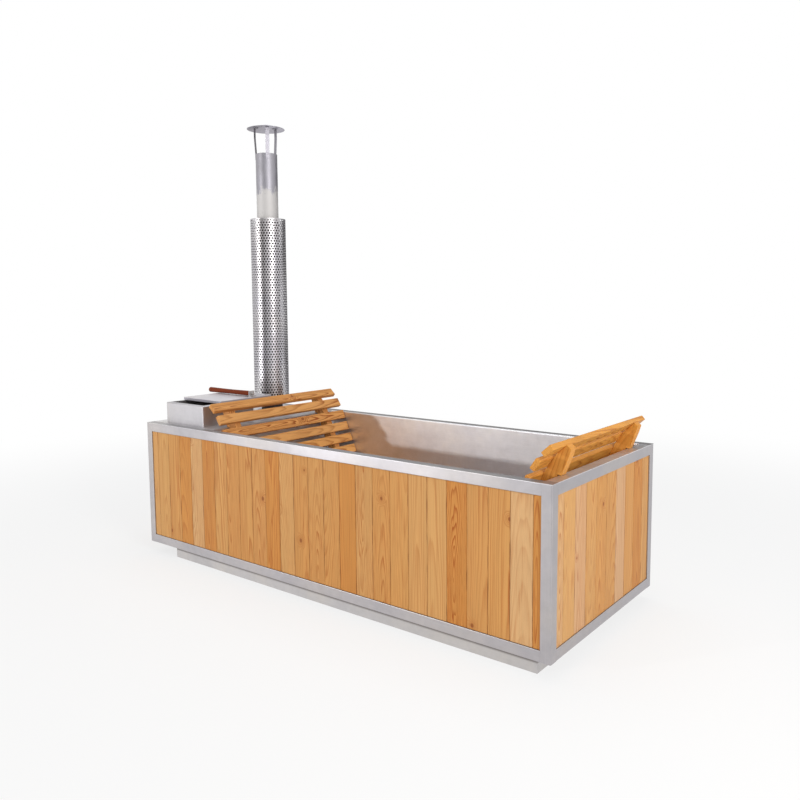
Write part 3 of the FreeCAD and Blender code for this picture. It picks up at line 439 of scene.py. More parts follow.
class Desk:
    """Short calls for wiring a node tree."""

    def __init__(self, tree: bpy.types.NodeTree) -> None:
        """Clears the tree."""
        self.tree = tree
        tree.nodes.clear()

    def node(self, kind: str, values: Sequence[object] | dict = (), **settings: object) -> Node:
        """Adds a node, links the inputs that are given a socket and sets the others.

        Args:
            kind: Its type, without the prefix that all have.
            values: Sockets or plain values for its inputs, in order or by name or number.
            settings: Its properties.

        Returns:
            The node.
        """
        node = self.tree.nodes.new("ShaderNode" + kind)
        for key, value in settings.items():
            setattr(node, key, value)
        for key, value in values.items() if isinstance(values, dict) else enumerate(values):
            if isinstance(value, Socket):
                self.tree.links.new(value, node.inputs[key])
            else:
                node.inputs[key].default_value = value
        return node

    def maths(self, operation: str, *values: object) -> Socket:
        """One operation on up to three numbers."""
        return self.node("Math", values, operation=operation).outputs[0]

    def times(self, first: object, second: object, plus: object = 0.0) -> Socket:
        """The product of two numbers, plus a third."""
        return self.maths("MULTIPLY_ADD", first, second, plus)

    def vector(self, operation: str, *values: object) -> Socket:
        """One operation on vectors."""
        return self.node("VectorMath", values, operation=operation).outputs[0]

    def scale(self, value: object, factor: object) -> Socket:
        """A vector or colour times a number."""
        return self.node("VectorMath", {0: value, "Scale": factor}, operation="SCALE").outputs[0]

    def split(self, value: Socket) -> list[Socket]:
        """The three numbers of a vector."""
        return list(self.node("SeparateXYZ", (value,)).outputs)

    def join(self, *values: object) -> Socket:
        """A vector of three numbers."""
        return self.node("CombineXYZ", values).outputs[0]

    def place(self) -> Socket:
        """Position in the frame."""
        return self.node("TexCoord").outputs["Object"]

    def mark(self, name: str) -> Socket:
        """A point attribute of the piece."""
        return self.node("Attribute", attribute_name=name).outputs["Vector"]

    def noise(self, spot: Socket, scale: float, detail: float = 2.0, rough: float = 0.5) -> list[Socket]:
        """Soft noise: its value and its colour."""
        values = {"Vector": spot, "Scale": scale, "Detail": detail, "Roughness": rough}
        return list(self.node("TexNoise", values).outputs)

    def grain(self, spot: Socket, cells: Triple, detail: float = 2.0, rough: float = 0.5) -> list[Socket]:
        """Soft noise with its own number of cells per metre along each axis: its value and its colour."""
        return self.noise(self.vector("MULTIPLY", spot, cells), 1.0, detail, rough)

    def drift(self, spot: Socket, cells: Triple, detail: float, reach: object) -> Socket:
        """Soft noise in three directions about nought, times a reach."""
        about = self.vector("SUBTRACT", self.grain(spot, cells, detail)[1], (0.5, 0.5, 0.5))
        return self.scale(about, reach)

    def smooth(self, value: Socket, low: float, high: float, start: float = 0.0,
               stop: float = 1.0) -> Socket:
        """A soft step of a value between two levels."""
        values = (value, low, high, start, stop)
        return self.node("MapRange", values, interpolation_type="SMOOTHSTEP").outputs[0]

    def ramp(self, value: Socket, stops: Sequence[Pair]) -> Socket:
        """A curve through grey levels.

        Args:
            value: What runs along the curve, from nought to one.
            stops: Places on the curve and their levels.

        Returns:
            The level.
        """
        node = self.node("ValToRGB", (value,))
        elements = node.color_ramp.elements
        while len(elements) < len(stops):
            elements.new(1.0)
        for element, (position, level) in zip(elements, stops):
            element.position = position
            element.color = (level, level, level, 1.0)
        return node.outputs[0]

    def mix(self, share: object, *colours: object) -> Socket:
        """Two colours mixed by a share."""
        first, second = (value if isinstance(value, Socket) else (*value, 1.0) for value in colours)
        return self.node("Mix", {0: share, 6: first, 7: second}, data_type="RGBA").outputs[2]

    def bump(self, height: Socket, distance: float, strength: float, **under: Socket) -> Socket:
        """A normal tilted by a height times a distance, over another Normal where one is given."""
        values = {"Strength": strength, "Distance": distance, "Height": height, **under}
        return self.node("Bump", values).outputs[0]

    def blend(self, share: Socket, first: Node, second: Node) -> Node:
        """Two shaders mixed by a share."""
        return self.node("MixShader", (share, first.outputs[0], second.outputs[0]))

    def end(self, shader: Node, kind: str = "Material") -> None:
        """Ends the tree in a shader."""
        self.node("Output" + kind, {"Surface": shader.outputs[0]})

    def surface(self, **values: object) -> None:
        """Ends the tree in one surface shader; keys are its inputs with low lines for spaces."""
        named = {key.replace("_", " "): value for key, value in values.items()}
        self.end(self.node("BsdfPrincipled", named))


def new_material(name: str) -> tuple[Material, Desk]:
    """An empty node material.

    Args:
        name: Its name.

    Returns:
        The material, and the desk to wire it on.
    """
    material = bpy.data.materials.new(name)
    material.use_nodes = True
    return material, Desk(material.node_tree)


@dataclass(frozen=True)
class WoodFinish:
    """Sawn softwood: growth rings round the heart of the tree, fibres, knots and resin along the edges.

    Fields named grain are cells of noise per metre across a piece, behind its face and along it. Fields
    named step are the two levels of a soft step, and its first and last value.
    """

    name: str
    early: Triple
    late: Triple
    source: GrainSource = GrainSource.MARKS
    ring_pitch: float = 0.0052
    figure: float = 0.72
    knots: float = 0.26
    resin: float = 0.55
    roughness: float = 0.5
    gloss: float = 0.2
    knot_brown: Triple = (0.27, 0.08, 0.02)
    pitch_brown: Triple = (0.16, 0.05, 0.015)
    tone_gain: Triple = (0.035, 0.145, 0.345)
    pink: Triple = (1.0, 1.09, 1.6)
    slow_grain: Triple = (7.0, 7.0, 1.3)
    quick_grain: Triple = (55.0, 55.0, 6.0)
    fibre_grain: Triple = (420.0, 420.0, 5.0)
    cloud_grain: Triple = (16.0, 16.0, 2.2)
    vein_grain: Triple = (130.0, 130.0, 1.6)
    resin_grain: Triple = (30.0, 11.0, 90.0)
    slow_bend: float = 0.022
    quick_bend: float = 0.003
    curl: float = 0.012
    knot_swell: float = 0.02
    knot_blush: float = 0.4
    knot_cells: Pair = (6.0, 4.6)
    knot_seeds: Pair = (37.0, 11.0)
    knot_sizes: Pair = (0.5, 0.8)
    knot_step: Step = (0.0, 0.17, 1.0, 0.0)
    core_step: Step = (0.022, 0.046, 0.9, 0.0)
    wander: float = 1.6
    wander_scale: float = 60.0
    tooth: tuple[Pair, ...] = (
        (0.0, 0.35), (0.07, 0.0), (0.55, 0.1), (0.86, 0.8), (0.94, 1.0), (1.0, 0.45))
    bold: Pair = (0.35, 0.9)
    heart_step: Step = (0.008, 0.04, 1.8, 1.0)
    cloud_step: Step = (0.25, 0.7, 0.35, 1.0)
    vein_step: Step = (0.5, 0.78, 0.0, 0.4)
    cloud_light: float = 0.24
    fibre_light: float = 0.34
    least_light: float = 0.69
    resin_levels: Pair = (0.42, 0.68)
    resin_least: float = 0.1
    rim_step: Step = (0.89, 1.0, 0.0, 1.0)
    frame_heart: Triple = (0.11, 0.07, 0.05)
    frame_tone: Triple = (-0.2, 0.2, 0.0)
    fibre_rough: float = 0.16
    relief: float = 0.0004

    def make(self) -> Material:
        """Wires the finish.

        Late wood darkens the early wood by the figure of the piece; light, tone and pink change the whole,
        and knots and resin lie over it.

        Returns:
            The material.
        """
        material, desk = new_material(self.name)
        ring, place, tone = self.sources(desk)
        shade, rosy, edge = desk.split(tone)
        seed = desk.split(place)[2]
        near, core = self.knot_masks(desk, place)
        radius = desk.times(near, self.knot_swell, self.heart_distance(desk, ring, seed))
        late = self.late_wood(desk, radius)
        fibre = desk.grain(ring, self.fibre_grain, 3.0, 0.6)[0]
        cloud = desk.grain(ring, self.cloud_grain)[0]
        vein = desk.smooth(desk.grain(ring, self.vein_grain)[0], *self.vein_step)
        bold = desk.times(seed, self.bold[1] * self.figure, self.bold[0] * self.figure)
        bold = desk.times(bold, desk.smooth(radius, *self.heart_step))
        figure = desk.times(desk.smooth(cloud, *self.cloud_step), bold)
        colour = desk.mix(desk.times(late, figure, vein), self.early, self.late)
        light = desk.times(cloud, self.cloud_light, desk.times(fibre, self.fibre_light, self.least_light))
        tint = desk.vector("ADD", desk.scale(self.tone_gain, shade), (1.0, 1.0, 1.0))
        colour = desk.vector("MULTIPLY", desk.scale(colour, light), tint)
        colour = desk.mix(rosy, colour, desk.vector("MULTIPLY", colour, self.pink))
        colour = desk.mix(desk.times(near, self.knot_blush), colour, self.late)
        colour = desk.mix(core, colour, self.knot_brown)
        streak = desk.grain(place, self.resin_grain)[0]
        streak = desk.smooth(streak, *self.resin_levels, self.resin_least * self.resin, self.resin)
        rim = desk.smooth(desk.maths("ABSOLUTE", edge), *self.rim_step)
        colour = desk.mix(desk.times(rim, streak), colour, self.pitch_brown)
        rough = desk.times(fibre, self.fibre_rough, self.roughness - self.fibre_rough / 2)
        desk.surface(Base_Color=colour, Roughness=rough, Specular_IOR_Level=self.gloss,
                     Normal=desk.bump(desk.times(late, 0.5, fibre), self.relief, 0.35))
        return material

    def sources(self, desk: Desk) -> tuple[Socket, Socket, Socket]:
        """What the finish is read from: the marks of the piece, or its place in the frame.

        Args:
            desk: Where the finish is wired.

        Returns:
            Place in the tree, place on the board, and tone of the board.
        """
        if self.source is GrainSource.MARKS:
            return desk.mark("ring"), desk.mark("place"), desk.mark("tone")
        spot = desk.place()
        return desk.vector("ADD", spot, self.frame_heart), spot, desk.join(*self.frame_tone)

    def heart_distance(self, desk: Desk, ring: Socket, seed: Socket) -> Socket:
        """Distance from the heart of the tree, after slow bends and quick ones that grow with the seed.

        Args:
            desk: Where the finish is wired.
            ring: Place in the tree.
            seed: Number of the piece, from nought to one.

        Returns:
            The distance in metres.
        """
        bent = desk.vector("ADD", ring, desk.drift(ring, self.slow_grain, 2.0, self.slow_bend))
        curl = desk.times(desk.maths("POWER", seed, 4.0), self.curl, self.quick_bend)
        bent = desk.vector("ADD", bent, desk.drift(ring, self.quick_grain, 1.0, curl))
        across, depth, _ = desk.split(bent)
        return desk.maths("SQRT", desk.times(across, across, desk.maths("POWER", depth, 2.0)))

    def late_wood(self, desk: Desk, radius: Socket) -> Socket:
        """A saw tooth of the distance over the ring pitch, from pale early wood to a dark late edge.

        Args:
            desk: Where the finish is wired.
            radius: Distance from the heart of the tree.

        Returns:
            The share of late wood.
        """
        wander = desk.noise(desk.join(radius, 0.0, 0.0), self.wander_scale, 1.0)[0]
        turns = desk.times(radius, 1.0 / self.ring_pitch, desk.times(wander, self.wander))
        return desk.ramp(desk.maths("FRACT", turns), self.tooth)

    def knot_masks(self, desk: Desk, place: Socket) -> tuple[Socket, Socket]:
        """Knots from scattered cells on the board's face, some of which hold one.

        Args:
            desk: Where the finish is wired.
            place: Place on the board, and its seed.

        Returns:
            The swelling round the knots, and the knots themselves, from nought to one.
        """
        across, along, seed = desk.split(place)
        spot = desk.join(*(desk.times(value, cells, desk.times(seed, stride)) for value, cells, stride in
                           zip((across, along), self.knot_cells, self.knot_seeds)), 0.0)
        cells = desk.node("TexVoronoi", {"Vector": spot, "Scale": 1.0}, voronoi_dimensions="2D")
        chance, size, _ = desk.split(cells.outputs["Color"])
        there = desk.maths("LESS_THAN", chance, self.knots)
        least, more = self.knot_sizes
        distance = desk.maths("DIVIDE", cells.outputs["Distance"], desk.times(size, more, least))
        near = desk.times(there, desk.smooth(distance, *self.knot_step))
        return near, desk.times(there, desk.smooth(distance, *self.core_step))


@dataclass(frozen=True)
class SteelFinish:
    """Stainless sheet or tube: fine brushing along one axis, cloudy patches and slight waves."""

    name: str
    colour: Triple
    brush: Axis
    roughness: float
    streak: float = 0.12
    cloud: float = 0.12
    wave: float = 0.024
    wave_scale: float = 3.0
    # Darkening toward dull_colour by height or mark: painted shade on the plinth, the lid's sides and the
    # rim tops.
    dulling: Dulling = Dulling.NONE
    dull_height: float = 0.0
    dull_reach: float = 0.02
    dull_share: float = 0.92
    dull_colour: Triple = (0.1, 0.085, 0.078)
    dull_rough: float = 0.3
    scoured_height: float = 0.0
    scoured_colour: Triple = (0.6, 0.585, 0.575)
    scoured_grain: Triple = (52.0, 52.0, 20.0)
    scoured_edge: Pair = (0.09, 0.12)
    scoured_share: float = 0.9
    scoured_rough: float = 0.2
    ragged: float = 0.22
    brush_across: float = 520.0
    brush_along: float = 5.0
    patch_scale: float = 4.2
    speck_scale: float = 31.0
    cold: Triple = (0.985, 0.99, 1.02)
    warm: Triple = (1.015, 1.0, 0.98)
    warm_levels: Pair = (0.35, 0.7)
    patch_light: float = 0.2
    speck_light: float = 0.2
    speck_rough: float = 0.4
    brush_light: float = 0.16
    least_light: float = 0.72
    relief: float = 0.0002

    def make(self) -> Material:
        """Wires the finish: stretched noise makes the brushing, and soft noise the patches.

        Returns:
            The material.
        """
        material, desk = new_material(self.name)
        spot = desk.place()
        cells = tuple(self.brush_along if axis is self.brush else self.brush_across for axis in Axis)
        brushed = desk.grain(spot, cells, 3.0, 0.6)[0]
        patch = desk.noise(spot, self.patch_scale, 4.0, 0.6)[0]
        speck = desk.noise(spot, self.speck_scale, 3.0, 0.6)[0]
        light = desk.times(speck, self.speck_light, desk.times(patch, self.patch_light, self.least_light))
        light = desk.times(brushed, self.brush_light, light)
        tint = desk.mix(desk.smooth(patch, *self.warm_levels), self.cold, self.warm)
        colour = desk.scale(desk.vector("MULTIPLY", tint, self.colour), light)
        rough = desk.times(brushed, self.streak, self.roughness - self.streak / 2 - self.cloud / 2)
        rough = desk.times(desk.times(speck, self.speck_rough, patch), self.cloud, rough)
        if self.scoured_height > 0.0:
            worn = self.scoured(desk, spot)
            colour = desk.mix(worn, colour, self.scoured_colour)
            rough = desk.times(worn, self.scoured_rough, rough)
        # Painted shade on the plinth, the lid's sides and the rim tops: the colour is mixed toward the dark
        # colour.
        if self.dulling is not Dulling.NONE:
            dull = self.dulled(desk, spot)
            colour = desk.mix(dull, colour, self.dull_colour)
            rough = desk.times(dull, 0.0 if self.dulling is Dulling.HIGH else self.dull_rough, rough)
        waves = desk.bump(desk.noise(spot, self.wave_scale, 1.0)[0], self.wave, 0.4)
        desk.surface(Base_Color=colour, Metallic=1.0, Roughness=rough,
                     Normal=desk.bump(brushed, self.relief, 0.12, Normal=waves))
        return material

    def dulled(self, desk: Desk, spot: Socket) -> Socket:
        """How far a point is darkened: as marked, or by its height; on the plinth, the lid's sides and the
        rim tops this is painted shade.

        Args:
            desk: Where the finish is wired.
            spot: Position in the frame.

        Returns:
            The share, from nought to one.
        """
        if self.dulling is Dulling.MARKED:
            return desk.split(desk.mark("inside"))[0]
        shares = (0.0, self.dull_share) if self.dulling is Dulling.HIGH else (self.dull_share, 0.0)
        height = desk.split(spot)[2]
        return desk.smooth(height, self.dull_height - self.dull_reach, self.dull_height, *shares)

    def scoured(self, desk: Desk, spot: Socket) -> Socket:
        """How far rain has scoured a point pale below a height, with a ragged upper edge.

        Args:
            desk: Where the finish is wired.
            spot: Position in the frame.

        Returns:
            The share, from nought to one.
        """
        tatter = desk.grain(spot, self.scoured_grain, 6.0, 0.75)[0]
        level = desk.times(tatter, self.ragged, desk.split(spot)[2])
        low, high = (self.scoured_height + edge for edge in self.scoured_edge)
        return desk.smooth(level, low, high, self.scoured_share, 0.0)


@dataclass(frozen=True)
class FiredFinish:
    """Metal of the fire: dark, dull and scaled, with rust and ash in the patches."""

    name: str
    dark: Triple
    scale: Triple
    metallic: float
    patch_scale: float = 9.0
    grit_scale: float = 240.0
    grit_share: float = 0.35
    scale_levels: Pair = (0.5, 0.85)
    roughness: float = 0.5
    patch_rough: float = 0.3
    relief: float = 0.0008

    def make(self) -> Material:
        """Wires the finish: two noises choose between the dark skin and the scale.

        Returns:
            The material.
        """
        material, desk = new_material(self.name)
        spot = desk.place()
        patch = desk.noise(spot, self.patch_scale, 5.0, 0.65)[0]
        grit = desk.noise(spot, self.grit_scale)[0]
        share = desk.smooth(desk.times(grit, self.grit_share, patch), *self.scale_levels)
        desk.surface(Base_Color=desk.mix(share, self.dark, self.scale), Metallic=self.metallic,
                     Roughness=desk.times(patch, self.patch_rough, self.roughness),
                     Normal=desk.bump(grit, self.relief, 0.5))
        return material


@dataclass(frozen=True)
class RubberFinish:
    """Moulded rubber: nearly black, with a fine dusty bloom."""

    name: str
    colour: Triple = (0.022, 0.022, 0.024)
    dust: Triple = (0.05, 0.05, 0.052)
    bloom_scale: float = 160.0
    roughness: float = 0.55
    bloom_rough: float = 0.25
    relief: float = 0.0003

    def make(self) -> Material:
        """Wires the finish: fine noise lifts the colour and the roughness.

        Returns:
            The material.
        """
        material, desk = new_material(self.name)
        bloom = desk.noise(desk.place(), self.bloom_scale, 3.0)[0]
        desk.surface(Base_Color=desk.mix(bloom, self.colour, self.dust),
                     Roughness=desk.times(bloom, self.bloom_rough, self.roughness),
                     Normal=desk.bump(bloom, self.relief, 0.3))
        return material


@dataclass(frozen=True)
class Stock:
    """How one piece of timber was sawn, and its colour.

    The heart is the offset of the tree's middle across the face and behind it, and the lean its drift per
    metre of length.
    """

    heart: Pair
    lean: Pair
    shade: float
    rosy: float
    seed: float
    seed_stride: float = 7.0

    def marks(self, across: Array, depth: Array, along: Array, half: float) -> dict[str, Array]:
        """Point attributes that the wood finish reads.

        Args:
            across: Distance of each point from the middle of the face.
            depth: Distance behind the face.
            along: Distance along the piece.
            half: Half the face's width.

        Returns:
            The marks ring, place and tone.
        """
        like = np.ones_like(across)
        ring = np.stack([across - self.heart[0] - self.lean[0] * along,
                         depth + self.heart[1] + self.lean[1] * along,
                         along + self.seed_stride * self.seed], -1)
        place = np.stack([across, along, like * self.seed], -1)
        tone = np.stack([like * self.shade, like * self.rosy, across / half], -1)
        return {"ring": ring, "place": place, "tone": tone}


@dataclass
class Sawmill:
    """Draws timber with the differences that real boards have, as spreads about nought or ranges."""

    seed: int
    heart_aside: float = 0.05
    heart_behind: Pair = (0.012, 0.085)
    lean_aside: float = 0.03
    lean_behind: float = 0.07
    shade_spread: float = 0.22
    rosy_spread: float = 0.1
    arch_heart: Pair = (0.2, 0.5)
    arch_drift: Pair = (0.3, 0.7)
    arch_lean: float = 0.035
    arch_seed: float = 0.55
    tone_shares: tuple[float, ...] = (0.4, 0.2, 0.22, 0.1, 0.08)

    def __post_init__(self) -> None:
        """Starts the draw of numbers."""
        self.rng = np.random.default_rng(self.seed)

    def about(self, spread: float) -> float:
        """A number within a spread of nought."""
        return self.rng.uniform(-spread, spread)

    def cut(self, shade: float, rosy: float, arched: bool = False) -> Stock:
        """One piece of timber.

        Args:
            shade: Lightness that it lies about.
            rosy: Share of pink that it lies about.
            arched: Whether its rings make arches down its face.

        Returns:
            The piece.
        """
        heart = (self.about(self.heart_aside), self.rng.uniform(*self.heart_behind))
        lean = (self.about(self.lean_aside), self.about(self.lean_behind))
        if arched:
            heart = (self.arch_heart[0] * heart[0], self.arch_heart[1] * heart[1])
            lean = (self.arch_drift[0] * lean[0],
                    math.copysign(self.arch_lean, lean[1]) + self.arch_drift[1] * lean[1])
        shade += self.about(self.shade_spread)
        rosy = min(1.0, max(0.0, rosy + self.about(self.rosy_spread)))
        return Stock(heart, lean, shade, rosy, self.rng.uniform(self.arch_seed if arched else 0.0, 1.0))

    def tone(self) -> BoardTone:
        """A colour family, the middle ones more often."""
        return list(BoardTone)[self.rng.choice(len(BoardTone), p=self.tone_shares)]


class Workshop:
    """The finishes of the tub, each made once."""

    def __init__(self) -> None:
        """Makes every finish."""
        self.make_steel()
        self.make_flue_steel()
        self.make_wood()
        self.fired = FiredFinish("fired_steel", (0.02, 0.02, 0.021), (0.09, 0.07, 0.06),
                                 metallic=0.7).make()
        self.iron = FiredFinish("grate_iron", (0.028, 0.026, 0.025), (0.11, 0.06, 0.04),
                                metallic=0.55).make()
        self.rubber = RubberFinish("black_rubber").make()

    @staticmethod
    def sheet(name: str, colour: Triple, axis: Axis, roughness: float = 0.42, streak: float = 0.08,
              **dulling: object) -> Material:
        """Thin sheet with long waves and clear patches.

        Args:
            name: Name of the finish.
            colour: Its colour.
            axis: Direction of the brushing.
            roughness: Its mean roughness.
            streak: How far the brushing changes the roughness.
            darkening: Where and how it is darkened, by field; painted shade on the rim tops and the lid's
                sides.

        Returns:
            The material.
        """
        return SteelFinish(name, colour, axis, roughness, streak, cloud=0.16, wave=0.032, wave_scale=1.6,
                           **dulling).make()

    def make_steel(self) -> None:
        """Frame, plinth, tub and stove sheets, lid, and fasteners."""
        self.frame: dict[Axis, Material] = {}
        self.tub: dict[Axis, Material] = {}
        self.stove: dict[Axis, Material] = {}
        self.wall: dict[Axis, Material] = {}
        for axis in Axis:
            end = axis.name.lower()
            self.frame[axis] = SteelFinish("frame_steel_" + end, (0.45, 0.43, 0.435), axis, 0.37).make()
            self.tub[axis] = self.sheet("tub_steel_" + end, (0.785, 0.78, 0.79), axis)
        for axis in (Axis.Y, Axis.Z):
            self.stove[axis] = self.sheet("stove_steel_" + axis.name.lower(), (0.49, 0.475, 0.48), axis)
        # Each wall is darkened from 2 mm below the rim up, over its rim top, more on the long walls than on
        # the ends: painted shade standing in for a dark reflection on the rim tops.
        for axis, share in ((Axis.X, 0.58), (Axis.Y, 0.22)):
            self.wall[axis] = self.sheet(
                "wall_steel_" + axis.name.lower(), (0.785, 0.78, 0.79), axis, dulling=Dulling.HIGH,
                dull_height=top_of("tub_rear_wall"), dull_reach=0.002, dull_share=share)
        self.deck = self.sheet("deck_steel", (0.6, 0.585, 0.58), Axis.X, streak=0.1)
        self.floor = self.sheet("floor_steel", (0.52, 0.505, 0.5), Axis.X, 0.4, 0.1)
        # The lid's folded sides are darkened toward lavender grey from 2.5 mm below its top, fully from 4 mm
        # down: painted shade on the sides.
        self.lid = self.sheet(
            "lid_steel", (0.6, 0.585, 0.605), Axis.X, dulling=Dulling.LOW,
            dull_height=top_of("lid") - 0.0025, dull_reach=0.0015, dull_share=0.75,
            dull_colour=(0.36, 0.35, 0.4))
        # The plinth is darkened from 32 mm up, fully above 41 mm: painted shade under the bottom rail.
        self.plinth = SteelFinish("plinth_steel", (0.52, 0.5, 0.49), Axis.X, 0.37, dulling=Dulling.HIGH,
                                  dull_height=0.041, dull_reach=0.009, dull_share=0.7).make()
        self.fastener = SteelFinish("bright_fastener_steel", (0.5, 0.5, 0.5), Axis.Z, 0.3).make()

    def make_flue_steel(self) -> None:
        """Pipe, guard, cap and cap legs."""
        guard_top = top_of("flue_guard")
        self.flue = SteelFinish("stack_steel", (0.47, 0.455, 0.5), Axis.Z, 0.45, streak=0.1, cloud=0.14,
                                wave=0.02, wave_scale=7.0).make()
        self.pipe = SteelFinish("flue_pipe_steel", (0.36, 0.35, 0.375), Axis.Z, 0.48, streak=0.1,
                                cloud=0.12, wave=0.02, wave_scale=7.0, dulling=Dulling.LOW,
                                dull_height=guard_top, scoured_height=guard_top + 0.15).make()
        self.guard = SteelFinish("guard_steel", (0.49, 0.475, 0.495), Axis.Z, 0.33, streak=0.08,
                                 cloud=0.08, wave=0.012, wave_scale=6.0, dulling=Dulling.MARKED).make()
        self.leg = SteelFinish("cap_leg_steel", (0.31, 0.3, 0.325), Axis.Z, 0.4).make()

    def make_wood(self) -> None:
        """Cladding, strips, slats and handle."""
        self.cladding = WoodFinish("cladding_softwood", (0.622, 0.305, 0.09),
                                   (0.395, 0.112, 0.0175)).make()
        self.strip = WoodFinish("strip_softwood", (0.6, 0.34, 0.13), (0.4, 0.17, 0.05),
                                GrainSource.FRAME).make()
        self.slats = {
            Side.LEFT: WoodFinish("left_slat_wood", (0.7, 0.33, 0.094), (0.3, 0.075, 0.013),
                                  figure=0.9, resin=0.15, roughness=0.42, gloss=0.14).make(),
            Side.RIGHT: WoodFinish("right_slat_wood", (0.74, 0.33, 0.062), (0.41, 0.11, 0.013),
                                   figure=0.75, resin=0.15, roughness=0.42, gloss=0.1).make(),
        }
        self.handle = WoodFinish("handle_hardwood", (0.22, 0.036, 0.007), (0.05, 0.009, 0.003),
                                 ring_pitch=0.0034, figure=0.9, knots=0.0, resin=0.0, gloss=0.12).make()


@dataclass
class Assembly:
    """A group of pieces, with the solids and the finishes that it draws on."""

    solids: dict[str, bpy.types.Object]
    shop: Workshop

    def build(self) -> None:
        """Makes the pieces and dresses the solids that stay."""
        raise NotImplementedError

    def dress(self, material: Material, *nodes: str) -> None:
        """Gives CAD nodes a finish in every material slot.

        Args:
            material: The finish.
            nodes: Names of the nodes.
        """
        for name in nodes:
            item = self.solids[name]
            if not item.material_slots:
                item.data.materials.append(material)
            for slot in item.material_slots:
                slot.material = material
            LOG.info("%s keeps its solid, finish %s", name, material.name)

    @staticmethod
    def settle(shell: Shell, node: str, material: Material, body: str, slot: str) -> None:
        """Makes the piece that stands for a CAD node, lets it ride on a body, and reports it.

        Args:
            shell: Its surfaces.
            node: The node.
            material: Its finish.
            body: The body that it moves with.
            slot: The record's material slot; not used.
        """
        piece = shell.build("shaped_" + node, material)
        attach(piece, body)
        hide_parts(node)
        LOG.info("%s rides on %s, %d faces", piece.name, body, len(piece.data.polygons))


@dataclass
class SteelFrame(Assembly):
    """Square tube frame: four posts and eight rails with rounded corners."""

    wall: float = 0.002
    corner: float = 0.0045
    edge: float = 0.002
    flush: float = 0.0005
    steps: int = 5

    def tube(self, name: str, axis: Axis, radii: Sequence[float]) -> None:
        """One tube: a rounded square carried along an axis, outside there and inside back.

        Args:
            name: CAD node that the tube stands for.
            axis: Direction of the tube.
            radii: Corner radii in the tube's outline.
        """
        low, high = box_of(name)
        flat = [other.value for other in Axis if other is not axis]
        width, height = (high - low)[flat]
        inner = [max(radius - self.wall, self.flush) for radius in radii]
        outside = rounded_outline(width, height, radii, self.steps)
        inside = rounded_outline(width - 2 * self.wall, height - 2 * self.wall, inner, self.steps)
        loops = np.zeros((4, len(outside), 3))
        loops[..., flat] = np.stack([outside, outside, inside, inside]) + ((low + high) / 2)[flat]
        loops[..., axis.value] = np.array([low, high, high, low])[:, axis.value, None]
        self.settle(Shell().loft(loops, Ends.RING), name, self.shop.frame[axis], "tub", "frame_steel")

    def build(self) -> None:
        """All posts and rails, and the finish of what carries the floor."""
        for i, word in enumerate(("rear_right", "rear_left", "front_left", "front_right")):
            radii = [self.flush] * 4
            radii[i] = self.corner
            self.tube("post_" + word, Axis.Z, radii)
        for face in Face:
            self.tube("top_rail_" + face.word, face.run, (self.flush, self.flush, self.edge, self.edge))
            self.tube("bottom_rail_" + face.word, face.run, (self.edge,) * 4)
        self.dress(self.shop.frame[Axis.Y], "floor_bearers")
        self.dress(self.shop.plinth, "plinth_panels")


@dataclass
class Cladding(Assembly):
    """Upright boards in the four openings of the frame.

    The tones are first letters of the boards' colour families; where there are none, they are drawn.
    """

    cover: float = 0.0864
    gap: float = 0.0008
    least: float = 0.012
    long_first: float = 0.041
    end_first: float = 0.052
    ease: float = 0.0014
    back_edge: float = 0.0004
    sink: float = 0.0005
    arched_every: int = 4
    levels: int = 5
    edge_steps: int = 3
    seed: int = 11
    front_tones: str = "sshapashhhashhhashhssahhpa"
    right_tones: str = "psrshhrhas"

    def joints(self, first: float, length: float) -> Array:
        """Places of the joints between boards: the first board, then whole covers, then what is left."""
        count = max(0, math.ceil((length - self.least - first) / self.cover) - 1)
        return np.concatenate([[0.0], first + self.cover * np.arange(count + 1), [length]])

    def panel(self, face: Face, tones: str, mill: Sawmill) -> None:
        """One side: each board is an outline with eased front edges carried upward.

        Args:
            face: Which side.
            tones: Letters of the boards' colour families, or nothing.
            mill: Source of the timber.
        """
        node = "cladding_%s_boards" % face.word
        low, high = box_of(node)
        run, inward = face.run.value, face.across.value
        is_long = face.run is Axis.X
        outer = (low if face.out < 0 else high)[inward]
        thickness = high[inward] - low[inward]
        first = self.long_first if is_long else self.end_first
        edges = self.joints(first, high[run] - low[run] + self.gap)
        radii = (self.back_edge, self.back_edge, self.ease, self.ease)
        height = np.linspace(low[2], high[2], self.levels)
        by_letter = {tone.name[0].lower(): tone for tone in BoardTone}
        shell = Shell()
        for i, (near, far) in enumerate(zip(edges[:-1], edges[1:])):
            tone = by_letter[tones[i]] if tones else mill.tone()
            stock = mill.cut(*tone.value, i % self.arched_every == int(is_long))
            width = far - near - self.gap
            outline = rounded_outline(width, thickness, radii, self.edge_steps)
            sunk = self.sink * mill.rng.uniform(0.0, 1.0)
            across = np.broadcast_to(outline[:, 0], (len(height), len(outline)))
            depth = np.broadcast_to(outline[:, 1] + thickness / 2, across.shape)
            along = np.broadcast_to(height[:, None], across.shape)
            loops = np.zeros((*across.shape, 3))
            loops[..., run] = low[run] - self.gap / 2 + (near + far) / 2 + across
            loops[..., inward] = outer - face.out * (depth * (1 - sunk / thickness) + sunk)
            loops[..., 2] = along
            shell.loft(loops, **stock.marks(across, depth, along, width / 2))
        self.settle(shell, node, self.shop.cladding, "tub", "cladding_wood")

    def build(self) -> None:
        """The four panels and the strips behind them."""
        mill = Sawmill(self.seed)
        self.panel(Face.FRONT, self.front_tones, mill)
        self.panel(Face.RIGHT, self.right_tones, mill)
        self.panel(Face.REAR, "", mill)
        self.panel(Face.LEFT, "", mill)
        self.dress(self.shop.strip, "cladding_strips")


